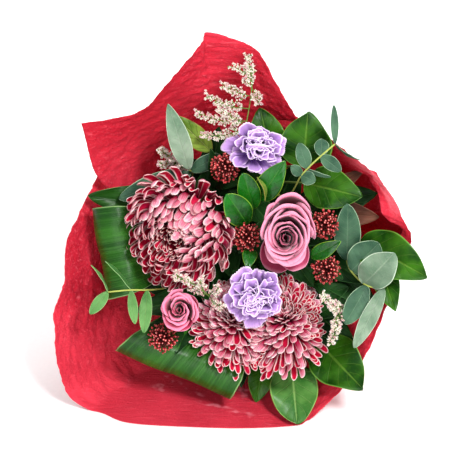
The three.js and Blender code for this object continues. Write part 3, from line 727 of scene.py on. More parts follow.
# Leaves: base, tip and width, and what differs from an open ovate leaf.
GLOSSY_LEAVES = {
    "glossy_leaf_rounded": leaf_at((20, 3, -22), (0, 33, 4), 28, outline=rounded),
    "glossy_leaf_upper": leaf_at((27, 18, -30), (16, 54, -6), 23, outline=rounded),
    "glossy_leaf_carnation": leaf_at((32, 27, -28), (58, 66, 2), 26),
    "glossy_leaf_edge": leaf_at((38, 26, -14), (30, 50, -9), 9, outline=slender, roll=1.1, material=OLIVE),
    "glossy_leaf_low": leaf_at((24, -22, -22), (20, -42, -6), 15),
    "glossy_leaf_right": leaf_at((84, -30, -20), (114, -14, 0), 16),
}
STALKED_LEAVES = {
    "salal_top": leaf_at((44, 70, -66), (33, 119, -52), 38),
    "salal_top_right": leaf_at((76, 62, -54), (81, 115, -24), 56),
    "salal_right_upper": leaf_at((78, 44, -48), (135, 30, -18), 44),
    "salal_far_right": leaf_at((134, -14, -44), (200, -50, 9), 48),
    "salal_right_tip": leaf_at((151, -34, -42), (168, -84, -10), 28),
    "salal_lower_right": leaf_at((92, -116, -74), (136, -162, -24), 54),
    "salal_bottom": leaf_at((64, -134, -82), (70, -197, -42), 50, outline=rounded, material=PALE_SALAL),
    "salal_bottom_dark": leaf_at((36, -136, -88), (29, -175, -78), 26),
    "salal_curled": leaf_at((-16, 76, -60), (-54, 112, -40), 22, material=OLIVE),
    "aspidistra_upper_left": leaf_at((-66, 22, -84), (-139, 31, -56), 48, outline=tapered, material=STRAP),
}
# Aspidistra leaves that roll over: the way they lean, how far their middle line is aside of that, its path as
# pairs of reach and w, the width at each pair, and how far the falling part swings aside.
LOOPED_LEAVES = {
    "aspidistra_bottom": dict(
        outward=(-0.379, -0.925), offset=6,
        path=((44, -200), (76, -163), (116, -121), (144, -84), (157, -60), (151, -42), (136, -37), (118, -48),
              (98, -68)),
        widths=(4, 14, 70, 114, 130, 128, 122, 108, 90), swing=0.3),
    "aspidistra_left": dict(
        outward=(-0.985, -0.171), offset=5,
        path=((40, -200), (66, -163), (97, -113), (120, -78), (130, -54), (125, -36), (108, -28), (92, -36),
              (78, -52)),
        widths=(4, 14, 58, 84, 95, 95, 92, 86, 76)),
}
# Eucalyptus sprigs: the stem, and the leaves on it.
EUCALYPTUS_SPRIGS = {
    "eucalyptus_upper_left": (
        ((-34, 54, -75), (-36, 56, -52), (-38, 57, -36)),
        (leaf_at((-38, 57, -37), (-59, 123, -18), 22, outline=ovate, material=PALE_EUCALYPTUS),
         leaf_at((-35, 57, -50), (-6, 72, -44), 16),
         leaf_at((-36, 55, -60), (-108, 28, -52), 24)),
    ),
    "eucalyptus_upper_right": (
        ((62, 32, -50), (74, 51, -13), (81, 59, -8), (95, 72, -4), (108, 83, 0)),
        (leaf_at((108, 83, 0), (107, 122, 6), 8),
         leaf_at((108, 83, 0), (133, 67, 2), 8, roll=1.35),
         leaf_at((95, 72, -4), (95, 88, -8), 15),
         leaf_at((95, 72, -4), (114, 56, 0), 14),
         leaf_at((81, 59, -8), (72, 84, 0), 15),
         leaf_at((81, 59, -8), (104, 50, -2), 6, roll=0.9),
         leaf_at((74, 51, -13), (88, 45, -6), 15),
         leaf_at((74, 51, -13), (64, 61, -8), 11)),
    ),
    "eucalyptus_right": (
        ((116, -26, -66), (124, -44, -38), (141, -59, -18), (157, -61, -10)),
        (leaf_at((119, -34, -52), (121, 23, -12), 27),
         leaf_at((124, -44, -38), (152, -16, -22), 34),
         leaf_at((136, -56, -22), (167, -26, 20), 36, arch=5, material=PALE_EUCALYPTUS),
         leaf_at((139, -58, -20), (118, -97, -14), 22),
         leaf_at((157, -61, -10), (127, -121, 8), 17, material=PALE_EUCALYPTUS)),
    ),
    "eucalyptus_left": (
        ((-68, -62, -40), (-80, -63, -16), (-97, -63, -7), (-119, -65, -4)),
        (leaf_at((-119, -65, -4), (-137, -87, 2), 12),
         leaf_at((-119, -65, -4), (-136, -38, 0), 8, roll=1.35),
         leaf_at((-97, -63, -7), (-122, -34, -2), 7, roll=1.2),
         leaf_at((-97, -63, -7), (-92, -97, -8), 10),
         leaf_at((-78, -63, -18), (-83, -106, -8), 13)),
    ),
}
# Limonium sprigs: the stem, and the base and tip of each flower spike on it.
LIMONIUM_SPRIGS = {
    "limonium_top": (
        ((12, 66, -66), (17, 92, -42), (23, 125, -32), (25, 148, -28), (20, 168, -26)),
        (((24, 144, -29), (6, 160, -24)), ((24, 130, -31), (-4, 142, -24)), ((22, 118, -33), (-20, 132, -26)),
         ((20, 106, -38), (-30, 114, -28)), ((18, 98, -40), (-24, 92, -34)), ((19, 102, -39), (-8, 116, -26)),
         ((25, 140, -29), (30, 124, -24))),
    ),
    "limonium_upper_left": (
        ((-46, 44, -84), (-50, 60, -68), (-60, 71, -54)),
        (((-58, 69, -56), (-67, 78, -46)), ((-54, 64, -62), (-68, 64, -50)),
         ((-50, 60, -68), (-42, 74, -58)), ((-52, 62, -64), (-48, 60, -36)),
         ((-50, 60, -68), (-38, 62, -38)), ((-54, 64, -62), (-55, 68, -38))),
    ),
    "limonium_middle": (
        ((-14, -74, -60), (-17, -70, -18), (-26, -62, -2), (-40, -53, 2)),
        (((-38, -54, 1), (-52, -46, 6)), ((-22, -65, -8), (-26, -52, 8)), ((-17, -70, -18), (-4, -80, 0)),
         ((-20, -67, -12), (-8, -60, 4))),
    ),
    "limonium_right": (
        ((118, -76, -62), (115, -82, -22), (108, -88, -6)),
        (((114, -83, -20), (96, -68, -4)), ((109, -87, -8), (103, -76, -2)),
         ((110, -86, -10), (107, -102, -2)), ((113, -84, -18), (104, -116, -6))),
    ),
}
STALK_RADIUS = 1.3
SPRIG_STEM_RADIUS = 1.3
EUCALYPTUS_STEM = dict(steps=90, radii=(1.35, 0.8), sides=8)
LIMONIUM_STEM = dict(steps=100, radii=(1.2, 0.55), sides=7)
TWINE_RADIUS = 1.0
TURNS = 4.5
END_ROOM = 0.9

# ---------------------------------------- Stems


def head_foot(middle, low, high):
    """Where the stem of a bloom ends, just under its head."""
    u, v, _ = seen((*middle, (low + high) / 2))
    return np.array([u, v, low - GAP])


def cluster_foot(place):
    """Where the stem of a cluster ends, under its buds."""
    return seen(place) - (0, 0, CLUSTER_DEPTH + GAP)


def loop_foot(outward, offset, path, **_):
    """Where the stalk of a looped leaf ends and its blade begins."""
    reach, w = path[0]
    return seen((outward[0] * reach - outward[1] * offset, outward[1] * reach + outward[0] * offset, w))


def flower_stems():
    """The name of each bloom and cluster, the place of its foot and the radius of its stem."""
    stems = [(name, head_foot(middle, low, high), BLOOM_STEM_RADII[kind])
             for name, (kind, middle, low, high) in BLOOMS.items()]
    return stems + [(name, cluster_foot(place), CLUSTER_STEM_RADIUS) for name, place in CLUSTERS.items()]


def packed_stems():
    """Where each stem crosses the waist: nearer the axis than its top, and pushed apart until all fit."""
    tops = flower_stems()
    sprigs = {**EUCALYPTUS_SPRIGS, **LIMONIUM_SPRIGS}
    tops += [(name, seen(stem[0]), SPRIG_STEM_RADIUS) for name, (stem, _) in sprigs.items()]
    tops += [(name, seen(leaf["base"]), STALK_RADIUS) for name, leaf in STALKED_LEAVES.items()]
    for name, leaf in LOOPED_LEAVES.items():
        reach = max(distance for distance, _ in leaf["path"])
        tops.append((name, np.array(leaf["outward"]) * reach, STALK_RADIUS))
    slots = [[name, top[0] * GATHER, top[1] * GATHER, radius] for name, top, radius in tops]
    for _ in range(PACKING_ROUNDS):
        for i, one in enumerate(slots):
            for other in slots[i + 1:]:
                du, dv = other[1] - one[1], other[2] - one[2]
                apart = math.hypot(du, dv)
                missing = one[3] + other[3] + STEM_SPACE - apart
                if missing > 0:
                    push = missing / 2 / apart
                    one[1], one[2] = one[1] - du * push, one[2] - dv * push
                    other[1], other[2] = other[1] + du * push, other[2] + dv * push
            length = math.hypot(one[1], one[2])
            if length > BUNDLE_RADIUS - one[3]:
                one[1:3] = [value * (BUNDLE_RADIUS - one[3]) / length for value in one[1:3]]
    return {name: np.array([u, v]) for name, u, v, _ in slots}


STEM_PLACES = packed_stems()


def turned(flat, angle):
    """A pair of u and v turned round the axis."""
    cos, sin = math.cos(angle), math.sin(angle)
    return np.array([flat[0] * cos - flat[1] * sin, flat[0] * sin + flat[1] * cos])


def stem_path(name, top):
    """The middle line of a stem from its cut end through the waist to its top, along one smooth swirl."""
    place = STEM_PLACES[name]
    end = STEM_END + END_STEPS[list(STEM_PLACES).index(name) % len(END_STEPS)]
    points = []
    for w in (end, (end + WAIST_LOW) / 2, WAIST_LOW):
        down = WAIST_LOW - w
        points.append((*turned(place * (1 + END_FLARE * down), END_TURN * down), w))
    for share in (0, 0.25, 0.5, 0.75, 1):
        flat = turned(lerp(place, top[:2], share), 4 * SWIRL * share * (1 - share))
        points.append((*flat, lerp(WAIST_HIGH, top[2], share)))
    return points


def above_floor(body):
    """A body with what would be below the floor moved up along v and w until it is level with it."""
    points, blocks, shape = body
    low = np.minimum(height_above_floor(points), 0)[:, None]
    return points - low * (0, SIN_TILT, COS_TILT), blocks, shape


def stem_body(path, radius, joints=3, chance=0.5):
    """A flower stem: a tube with the slight swellings where leaves grew."""
    share = np.linspace(0, 1, STEM_STEPS)
    places = [(joint + 0.6) / (joints + 0.4) for joint in range(joints)]
    swell = sum(np.exp(-(((share - place) / JOINT_LENGTH) ** 2)) for place in places)
    line = smooth_line(path, STEM_STEPS)
    return above_floor(tube(line, radius * (1 + JOINT_SWELL * swell), 10, chance))


# Leaves that grow from the flower stems and fill the bunch between the blooms: the tip as seen, the width,
# and the material where it isn't FOLIAGE.
STEM_LEAVES = {
    "chrysanthemum_left": (((-98, 20, -48), 30), ((-80, -44, -50), 30), ((-20, 60, -52), 26)),
    "chrysanthemum_lower": (((-30, -140, -72), 26), ((14, -160, -74), 28), ((-40, -112, -60), 24)),
    "chrysanthemum_right": (((112, -126, -62), 32), ((92, -148, -66), 30), ((126, -84, -58), 32),
                            ((128, -118, -56), 34), ((122, -60, -52), 32)),
    "rose_large": (((106, 24, -38), 32), ((112, -14, -40), 30), ((116, -52, -44), 30), ((12, -26, -36), 24),
                   ((88, -42, -46), 36), ((86, -60, -54), 38)),
    "rose_small": (((-92, -84, -46), 30), ((-84, -116, -42), 26), ((-64, -58, -46), 24),
                   ((-18, -72, -46), 26), ((-46, -62, -50), 32), ((-86, -56, -52), 36)),
    "carnation_upper": (((-6, 86, -46), 24), ((66, 72, -46), 28), ((56, 46, -44), 26), ((-22, 70, -52), 24)),
    "carnation_lower": (((6, -44, -38), 22), ((62, -38, -40), 24), ((2, -74, -44), 24)),
    "skimmia_top": (((-16, 78, -30), 16), ((14, 44, -34), 18)),
    "skimmia_middle": (((6, -20, -30), 18), ((34, -26, -32), 16)),
    # The russet leaves and the big dark leaf at (150, 34, -56) sit in the shaded inside of the paper by the
    # lip. They are partly real leaves, and partly dark stand-ins for the shade there.
    "skimmia_right": (((134, 4, -44), 34), ((112, 26, -36), 22), ((152, 10, -40), 34, RUSSET),
                      ((138, 58, -44), 22, RUSSET), ((150, 34, -56), 40)),
    "skimmia_right_lower": (((138, -56, -48), 36), ((126, -92, -54), 32), ((150, -82, -50), 40),
                            ((130, -72, -56), 34)),
    "skimmia_lower_left": (((-82, -100, -36), 18), ((-52, -128, -36), 18)),
}
LEAF_RISE = 42  # how far below its tip a leaf leaves its stem
THROAT_LEAVES = 26  # broad leaves low on the stems, in a spiral outwards from the axis
THROAT_REACH = (6, 104)
THROAT_HEIGHT = (-62, -84)
THROAT_RISE = 60  # how far below its tip such a leaf leaves its stem
LEAF_THICKNESS = 0.6
CHANCE_STEP = 0.37  # how far the chance of one leaf is from the next one's

# How the kinds of leaves differ from a plain blade.
STEM_LEAF = dict(arch=7, fold=0.16, wave=0.06, veins=5)
THROAT_LEAF = dict(width=44, arch=9, fold=0.1, wave=0.05, veins=5)
GLOSSY_LEAF = dict(thickness=0.9, wave=0.03, veins=5, relief=0.25)
STALKED_LEAF = dict(fold=0.22, columns=21, rows=34)
SPRIG_LEAF = dict(outline=rounded, arch=2, wave=0.04, veins=9, relief=0.05)


def at_height(line, w):
    """The point of a line nearest to a height along the axis."""
    return line[np.argmin(np.abs(line[:, 2] - w))]


def throat_leaf(number, line):
    """One of the broad leaves low in the bunch. It starts on the stem whose middle line is given."""
    share = (number + 0.5) / THROAT_LEAVES
    azimuth = number * GOLDEN_ANGLE + 0.6
    reach = lerp(*THROAT_REACH, share**0.6)
    tip = (reach * math.cos(azimuth), reach * math.sin(azimuth), lerp(*THROAT_HEIGHT, share))
    start = at_height(line, tip[2] - THROAT_RISE)
    return blade(None, tip, start=start, chance=number * CHANCE_STEP % 1, **THROAT_LEAF)


def make_stems():
    stems = flower_stems()
    for order, (name, foot, radius) in enumerate(stems):
        path = [*stem_path(name, foot - (0, 0, NECK)), foot]
        line = smooth_line(path, FINE_STEPS)
        piece = Piece()
        piece.add(stem_body(path, radius, 2 + order % 3, order / len(stems)))
        for number, (tip, width, *material) in enumerate(STEM_LEAVES[name]):
            start = at_height(line, tip[2] - LEAF_RISE)
            chance = (number * CHANCE_STEP + order * 0.2) % 1
            piece.add(blade(None, tip, width, start=start, chance=chance, **STEM_LEAF), 2 if material else 1)
        for number in range(order, THROAT_LEAVES, len(stems)):
            piece.add(throat_leaf(number, line), 1)
        piece.build(name + "_stem_green", [STEM, FOLIAGE, RUSSET], "green_stem", name + "_stem")


# ---------------------------------------- Leaves


def blade(base, tip, width, outline=ovate, roll=0.0, arch=4.0, fold=0.12, start=None, columns=15, rows=26,
          thickness=LEAF_THICKNESS, chance=0.5, wave=0.05, veins=6, relief=0.35, **_):
    """A leaf blade from its base as seen, or from start, to its tip. roll turns it about its midrib, arch
    bows it, fold raises its sides and wave ripples them. relief is how deep its veins are."""
    start = seen(base) if start is None else start
    length = seen(tip) - start
    side = np.array(Matrix.Rotation(roll, 3, Vector(unit(length)))) @ unit(np.cross(length, (0, 0, 1)))
    up = unit(np.cross(side, length))
    along = np.linspace(0, 1, rows)[:, None]
    out = np.linspace(-1, 1, columns)[None]
    off = np.abs(out)
    half = width / 2 * outline(along)
    lift = arch * np.sin(math.pi * along) + fold * off * half
    lift = lift + width * wave * off**2 * np.sin(along * 13 + out * 1.7 + chance * 30)
    phase = along * veins - 1.8 * off**0.85
    lift = lift - relief * np.abs(np.cos(math.pi * phase)) ** 6 * (1 - off**4)
    lift = lift - 1.2 * relief * np.exp(-((out / 0.08) ** 2))
    grid = start + along[..., None] * length + (out * half)[..., None] * side + lift[..., None] * up
    edge = np.minimum(1, 4 * (1 - off) + 0.45) * np.ones_like(along)
    return shell(grid, thickness * edge, chance)


def nearest_on(line, place):
    """The point of a line nearest to a place."""
    return line[np.argmin(np.linalg.norm(line - place, axis=1))]


def make_glossy_leaves():
    for order, (name, leaf) in enumerate(GLOSSY_LEAVES.items()):
        piece = Piece()
        piece.add(blade(**leaf, **GLOSSY_LEAF, chance=order / len(GLOSSY_LEAVES)))
        piece.build(name + "_blade", [leaf.get("material", GLOSSY)], "glossy_leaf", name)


def make_stalked_leaves():
    for order, (name, leaf) in enumerate(STALKED_LEAVES.items()):
        kind = "salal_leaf" if name.startswith("salal") else "aspidistra_leaf"
        chance = order / len(STALKED_LEAVES)
        piece = Piece()
        piece.add(stem_body(stem_path(name, seen(leaf["base"])), STALK_RADIUS, 1, chance), 1)
        piece.add(blade(**leaf, **STALKED_LEAF, chance=chance))
        piece.build(name + "_leaf", [leaf.get("material", SALAL), STEM], kind, name)
    for name, leaf in LOOPED_LEAVES.items():
        piece = Piece()
        piece.add(stem_body(stem_path(name, loop_foot(**leaf)), STALK_RADIUS, 1), 1)
        piece.add(looped_blade(**leaf))
        piece.build(name + "_leaf", [STRAP, STEM], "aspidistra_leaf", name)


def sprig_stem(name, stem, chance, steps, radii, sides):
    """The middle line of a sprig's stem, and its tube, which gets thinner towards the top."""
    top, *rest = [seen(place) for place in stem]
    line = smooth_line([*stem_path(name, top), *rest], steps)
    return line, above_floor(tube(line, np.linspace(*radii, steps), sides, chance))


def make_eucalyptus():
    for order, (name, (stem, leaves)) in enumerate(EUCALYPTUS_SPRIGS.items()):
        piece = Piece()
        line, body = sprig_stem(name, stem, order / len(EUCALYPTUS_SPRIGS), **EUCALYPTUS_STEM)
        piece.add(body, 2)
        for number, leaf in enumerate(leaves):
            start = nearest_on(line, seen(leaf["base"]))
            slot = 1 if leaf.get("material") is PALE_EUCALYPTUS else 0
            piece.add(blade(**SPRIG_LEAF | leaf, start=start, chance=number * CHANCE_STEP % 1), slot)
        leafy = GREEN_EUCALYPTUS if name == "eucalyptus_left" else EUCALYPTUS
        piece.build(name + "_sprig", [leafy, PALE_EUCALYPTUS, TWIG], "eucalyptus_leaf", name)


def looped_blade(outward, offset, path, widths, swing=0.0, columns=41, rows=72):
    """A strap leaf that climbs from the waist, rolls over outwards and is tucked in under the heads."""
    out = np.array([*outward, 0.0])
    side = np.array([-outward[1], outward[0], 0.0])
    peak = max(range(len(path)), key=lambda order: path[order][0])
    points = []
    for order, (reach, w) in enumerate(path):
        aside = offset + swing * (path[peak][0] - reach) * (order > peak)
        points.append(seen((*(out * reach + side * aside)[:2], w)))
    places = np.linspace(0, len(points) - 1, rows)
    line = spline(points, places)
    width = np.interp(places, range(len(widths)), widths)[:, None]
    across = np.linspace(-0.5, 0.5, columns)[None]
    normal = np.cross(side, unit(np.gradient(line, axis=0)))
    wave = 0.9 * np.sin(across * 9 + places[:, None] * 0.8) * np.minimum(width / 60, 1)
    groove = -0.8 * np.exp(-((across / 0.02) ** 2))
    grid = line[:, None] + (across * width)[..., None] * side + (wave + groove)[..., None] * normal[:, None]
    return shell(grid, LEAF_THICKNESS, 0.4)


# ---------------------------------------- Wrapper


def sheet_grid(stations, waist_radius, columns, rows):
    """The middle surface of a sheet, rows x columns, from the skirt end to the rim."""
    rims = np.array([seen(rim) for rim, _, _ in stations])
    knees = np.array([seen(knee) for _, knee, _ in stations])
    angles = np.radians([[angle] for _, _, angle in stations])
    places = np.linspace(0, len(stations) - 1, columns)
    rim, knee, angle = spline(rims, places), spline(knees, places), spline(angles, places)
    pleats = np.sin(angle * PLEATS)
    ring = np.concatenate([np.cos(angle), np.sin(angle)], 1) * waist_radius
    ring = ring * (1 + 0.05 * pleats + 0.03 * np.sin(angle * 31 + 1))

    def level(flat, w):
        return np.concatenate([flat, np.full_like(angle, w)], 1)

    low, high = level(ring, WAIST_LOW), level(ring, WAIST_HIGH)
    skirt = level(ring * SKIRT_FLARE * (1 + 0.07 * pleats), SKIRT_END)
    to_knee, to_rim = knee - high, rim - knee
    span_knee, span_rim = (np.linalg.norm(way, axis=1, keepdims=True) for way in (to_knee, to_rim))
    turn = unit(unit(to_knee) + unit(to_rim))
    degrees = np.degrees(angle)
    lip = smoothstep(*LIP_START, degrees) * smoothstep(*LIP_END, degrees)
    lean = LIP_LEAN * np.minimum(span_rim / LIP_WIDTH, 1)
    overhang = unit(np.concatenate([-unit(knee[:, :2]) * lean, np.ones_like(lip)], 1)) * LIP_BULGE
    leave = unit(unit(to_knee) + (0, 0, 0.6)) * span_knee
    arrive = lerp(turn, overhang, lip) * span_knee
    depart = lerp(turn, unit(to_rim), lip) * span_rim

    def shares(count, last=False):
        return np.linspace(0, 1, count, endpoint=last)

    lines = [lerp(skirt, low, share) for share in shares(rows // 10)]
    lines += [lerp(low, high, share) for share in shares(rows // 14)]
    lines += [hermite(high, knee, leave, arrive, share) for share in shares(rows // 2)]
    lines += [hermite(knee, rim, depart, to_rim, share) for share in shares(rows // 2, True)]
    return np.array(lines)


# Creases pressed into the front sheet: two ends as seen, width and height.
CREASES = (
    ((-66, -158), (-44, -168), 2.2, 3.4),
    ((-46, -166), (-22, -178), 2.0, 3.8),
    ((-60, -172), (-36, -180), 1.8, -2.6),
    ((-30, -182), (28, -192), 2.4, 3.8),
    ((-76, -166), (-50, -174), 1.8, 3.0),
    ((10, -164), (22, -178), 5.0, 3.6),
    ((-128, -30), (-96, -44), 2.4, 1.4),
    ((-160, -100), (-112, -104), 2.4, 1.4),
    ((-160, -60), (-120, -68), 2.0, 1.2),
    ((-124, -134), (-110, -190), 6.0, 2.2),
    ((-100, -140), (-98, -192), 5.0, -1.6),
)
CREASED_ABOVE = -140  # the lowest w with creases
HIGHLIGHT_RIDGE_HEIGHT = 2.5  # higher creases get a painted highlight along their ridges
# The places with fewer crinkles, by their middle as seen and their reach, and the lowest w of them.
SMOOTH_PATCHES = ((LIP_MIDDLE, LIP_REACH), ((-30, -190), 34))
SMOOTH_ABOVE = -130


def creased(grid, flat):
    """The lift of the creases, and how much painted highlight each point of their ridges gets. flat is the
    grid as seen.
    """
    lift, ridge_highlight = np.zeros(grid.shape[:2]), np.zeros(grid.shape[:2])
    wander = bumps(grid + 500, 13, 2) * 5
    broken = smoothstep(-0.25, 0.3, bumps(grid + 700, 8, 2))
    for start, end, width, height in CREASES:
        way = np.subtract(end, start)
        offset = flat - start
        share = offset @ way / (way @ way)
        off = (offset[..., 0] * way[1] - offset[..., 1] * way[0]) / np.linalg.norm(way) + wander
        fade = smoothstep(-0.15, 0.2, share) * smoothstep(1.15, 0.8, share)
        ridge = fade * np.exp(-((off / width) ** 2)) * (grid[..., 2] > CREASED_ABOVE)
        lift = lift + height * ridge
        ridge_highlight = np.maximum(ridge_highlight, ridge * broken * (height > HIGHLIGHT_RIDGE_HEIGHT))
    return lift, ridge_highlight


def crumpled(grid):
    """The grid with crinkles that run crossways, finer ones over them, slow waves and creases, all above the
    waist, and how much painted highlight the crease ridges get at each point. The shifts of the grid keep one
    noise unlike another."""
    free = smoothstep(0.2, 0.5, np.linspace(0, 1, len(grid)))[:, None]
    flat = grid[..., :2] / (1 - grid[..., 2:] / VIEW_DISTANCE)
    rough = 1.0
    for place, reach in SMOOTH_PATCHES:
        near = np.exp(-(((flat - place) ** 2).sum(-1) / reach**2))
        rough = rough - 0.6 * near * (grid[..., 2] > SMOOTH_ABOVE)
    crinkle = bumps(grid, (36, 7.0, 7.0)) * 1.35 + bumps(grid + 90, (9, 3.4, 3.4), 2) * 0.62
    slow = bumps(grid + 300, 60, 2) * 2.4
    ridges, ridge_highlight = creased(grid, flat)
    lift = (crinkle * rough + slow + ridges) * free
    return grid + lift[..., None] * normals(grid), ridge_highlight * free


def make_wrapper():
    for name, stations, radius, columns, flat, cut in (
        ("back", BACK_SHEET, BACK_WAIST_RADIUS, 150, (0.30, 0.46), 0.047),
        ("front", FRONT_SHEET, FRONT_WAIST_RADIUS, 330, (0.90, 0.46), 0.16),
    ):
        grid, ridge_highlight = crumpled(sheet_grid(stations, radius, columns, SHEET_ROWS))
        low = np.minimum(height_above_floor(grid) - PAPER_THICKNESS, 0)[..., None]
        grid = grid - low * (0, SIN_TILT, COS_TILT)
        piece = Piece()
        piece.add(above_floor(shell(grid, PAPER_THICKNESS, ridge_highlight)))
        sheet = piece.build(f"wrapper_{name}_paper", [PAPER], "red_paper", f"wrapper_{name}_sheet")


def wound(radius, low, high):
    """The middle line of a cord wound round the axis."""
    angle = np.linspace(0, TURNS * 2 * math.pi, int(TURNS * 48))
    w = np.linspace(low + END_ROOM, high - END_ROOM, len(angle))
    return np.stack([np.cos(angle) * radius, np.sin(angle) * radius, w], 1)


def make_ties():
    for name, radius, low, high, node in (
        ("stem_binding", 22.6, -243, -234, "stem_twine"),
        ("wrapper_binding", 30.9, -243, -233, "wrapper_tie"),
    ):
        piece = Piece()
        piece.add(tube(wound(radius, low, high), TWINE_RADIUS))
        piece.build(name, [TWINE], "twine", node)


# ---------------------------------------- Blooms


def petal_grid(start, out, axis, length, rise, curl, half, channel, turn, columns, rows):
    """A petal that leaves start at an angle of rise above out, and curls on by curl towards the axis. channel
    is the half angle of its cross-section at its base, middle and tip. turn rolls it about its own line."""
    s = 1 - (1 - np.linspace(0, 1, rows)) ** 1.6
    angle = (rise + curl * s**1.8)[:, None]
    side = np.cross(out, axis)
    ahead = np.cos(angle) * out + np.sin(angle) * axis
    steps = length * np.diff(s)[:, None]
    line = start + np.concatenate([[np.zeros(3)], np.cumsum((ahead[1:] + ahead[:-1]) / 2 * steps, axis=0)])
    up = np.cos(angle) * axis - np.sin(angle) * out
    x = np.linspace(-1, 1, columns)
    bend = np.interp(s, (0, 0.5, 1), channel)[:, None]
    width = half(s)[:, None]
    lateral = width * np.sin(bend * x) / bend
    lift = width * (1 - np.cos(bend * x)) / bend
    lift = lift - lift.mean(1, keepdims=True)
    twist = (turn * smoothstep(0.0, 0.3, s))[:, None]
    cos, sin = np.cos(twist), np.sin(twist)
    lateral, lift = lateral * cos - lift * sin, lateral * sin + lift * cos
    return line[:, None] + lateral[..., None] * side + lift[..., None] * up[:, None]


def ray_width(widest, tip):
    """The half width of a chrysanthemum ray along its length, with a round tip."""
    def half(s):
        body = 0.36 + 0.64 * smoothstep(0.0, 0.6, s)
        end = np.sqrt(np.clip(1 - ((s - tip) / (1.0005 - tip)) ** 2, 0.03, 1))
        return widest * body * np.where(s > tip, end, 1)
    return half


def guard_width(widest):
    """The half width of an open petal of a rose along its length."""
    def half(s):
        return widest * np.sin(np.clip(s * 0.84 + 0.12, 0, 1) * math.pi) ** 0.5
    return half


def bloom_frame(lean):
    """Three directions square to each other, the first of them the way a bloom faces."""
    axis = unit(lean)
    first = unit(np.cross((0, 1, 0), axis))
    return axis, first, np.cross(axis, first)


def bloom_start(base, lean, seed):
    """An empty piece, the random numbers, the base in the bouquet's frame and the bloom's directions."""
    return Piece(), np.random.default_rng(seed), seen(base), *bloom_frame(lean)


LAYERS = (0, 0.14, 0.34, 0.64, 1)  # the shares of a chrysanthemum's rays, from its eye outwards
EYE_CHANCE = 0.98  # marks the cream-tipped rays of an eye for the material
RAY_COLUMNS, RAY_ROWS = 9, 13
RAY_THICKNESS = 0.42
# The forms of a head. Each row of layers holds one value for each of LAYERS. tip is where a ray starts to
# round off, eye the share of rays that are cream-tipped, and chances the range of the others' chances.
INCURVED = dict(
    layers=dict(rise=(87, 72, 52, 22, 0), curl=(4, 14, 76, 95, 78), length=(0.54, 0.62, 0.86, 1.0, 0.9),
                widest=(2.2, 2.6, 4.6, 4.8, 4.7), folded=(1.5, 1.4, 1.1, 1.2, 1.3), lift=(8, 7, 4, -2, -8)),
    tip=0.9, eye=0.14, chances=(0.35, 0.85))
REFLEXED = dict(
    layers=dict(rise=(80, 66, 46, 22, -4), curl=(6, 0, -12, 8, 40), length=(0.40, 0.5, 0.70, 0.88, 0.98),
                widest=(2.6, 3.4, 4.2, 3.9, 3.6), folded=(1.7, 1.3, 1.1, 1.1, 1.05), lift=(8, 7, 4, -2, -7)),
    tip=0.86, eye=0.0, chances=(0.0, 0.75))


def chrysanthemum(name, base, lean, form, back_up, reach, count, seed, bias=(0, 0), bias_curl=0,
                  stretch=(1, 1), shorter=0.14):
    """A head of rolled rays. bias is the side that curls over the eye more, back_up(t, towards) the share of
    rays that show their pale reverse, stretch how much longer the rays are upwards and downwards, and shorter
    how much shorter they are towards the bias."""
    piece, rng, base, axis, first, second = bloom_start(base, lean, seed)
    for number in range(count):
        t = (number + 0.5) / count
        layer = {key: np.interp(t, LAYERS, stops) for key, stops in form["layers"].items()}
        azimuth = number * GOLDEN_ANGLE + rng.normal(0, 0.06)
        out = around(azimuth, first, second)
        towards = float(np.dot(out, unit((*bias, 0)))) if any(bias) else 0.0
        biased = bias_curl * towards * smoothstep(0.08, 0.3, t) * smoothstep(0.85, 0.4, t)
        rise = math.radians(layer["rise"] + rng.normal(0, 3.5))
        curl = math.radians(layer["curl"] + biased + rng.normal(0, 8))
        length = reach * layer["length"] * rng.uniform(0.92, 1.07)
        length *= lerp(1, stretch[math.sin(azimuth) < 0], abs(math.sin(azimuth)))
        length *= 1 - shorter * max(towards, -0.3) * t
        start = base + out * lerp(1.0, 10.0, t**0.5) + axis * layer["lift"]
        half = ray_width(layer["widest"] * rng.uniform(0.86, 1.12), form["tip"])
        channel = (2.4, layer["folded"] * rng.uniform(0.9, 1.1), layer["folded"] * rng.uniform(0.5, 0.85))
        turn = rng.normal(0, 0.3) + math.pi * (rng.random() < back_up(t, towards))
        grid = petal_grid(start, out, axis, length, rise, curl, half, channel, turn, RAY_COLUMNS, RAY_ROWS)
        grid = grid + bumps(grid + number * 13.0, 14, 1)[..., None] * 0.8 * axis
        swayed = rng.normal(0, 2.0) * np.linspace(0, 1, RAY_ROWS)[:, None, None] ** 2
        grid = grid + np.cross(out, axis) * swayed
        chance = EYE_CHANCE if t < form["eye"] else rng.uniform(*form["chances"])
        piece.add(shell(grid, RAY_THICKNESS, chance))
    piece.add(bead(base + axis * 3, 9.0, axis, stretch=0.7, chance=0.3))
    piece.add(bead(base - axis * 2, 9.5, axis, stretch=0.7, chance=0.5), 1)
    piece.build(name + "_rays", [CHRYSANTHEMUM, STEM], "chrysanthemum_petals", name + "_bloom")


PETAL_THICKNESS = 0.6
GUARD_CHANNEL = (0.9, 0.7, 0.3)
GUARD_COLUMNS, GUARD_ROWS = 19, 20
CARNATION_THICKNESS = 0.45
ROSE_CUP = (2.6, 4.2, 5.6, 6.2, 6.0, 5.4, 4.6, 3.0)  # radii of the green cup, from the stem up
CARNATION_CUP = (2.4, 4.6, 5.6, 6.0, 6.1, 6.1, 6.0, 5.9, 5.8, 5.7, 5.6, 5.2)


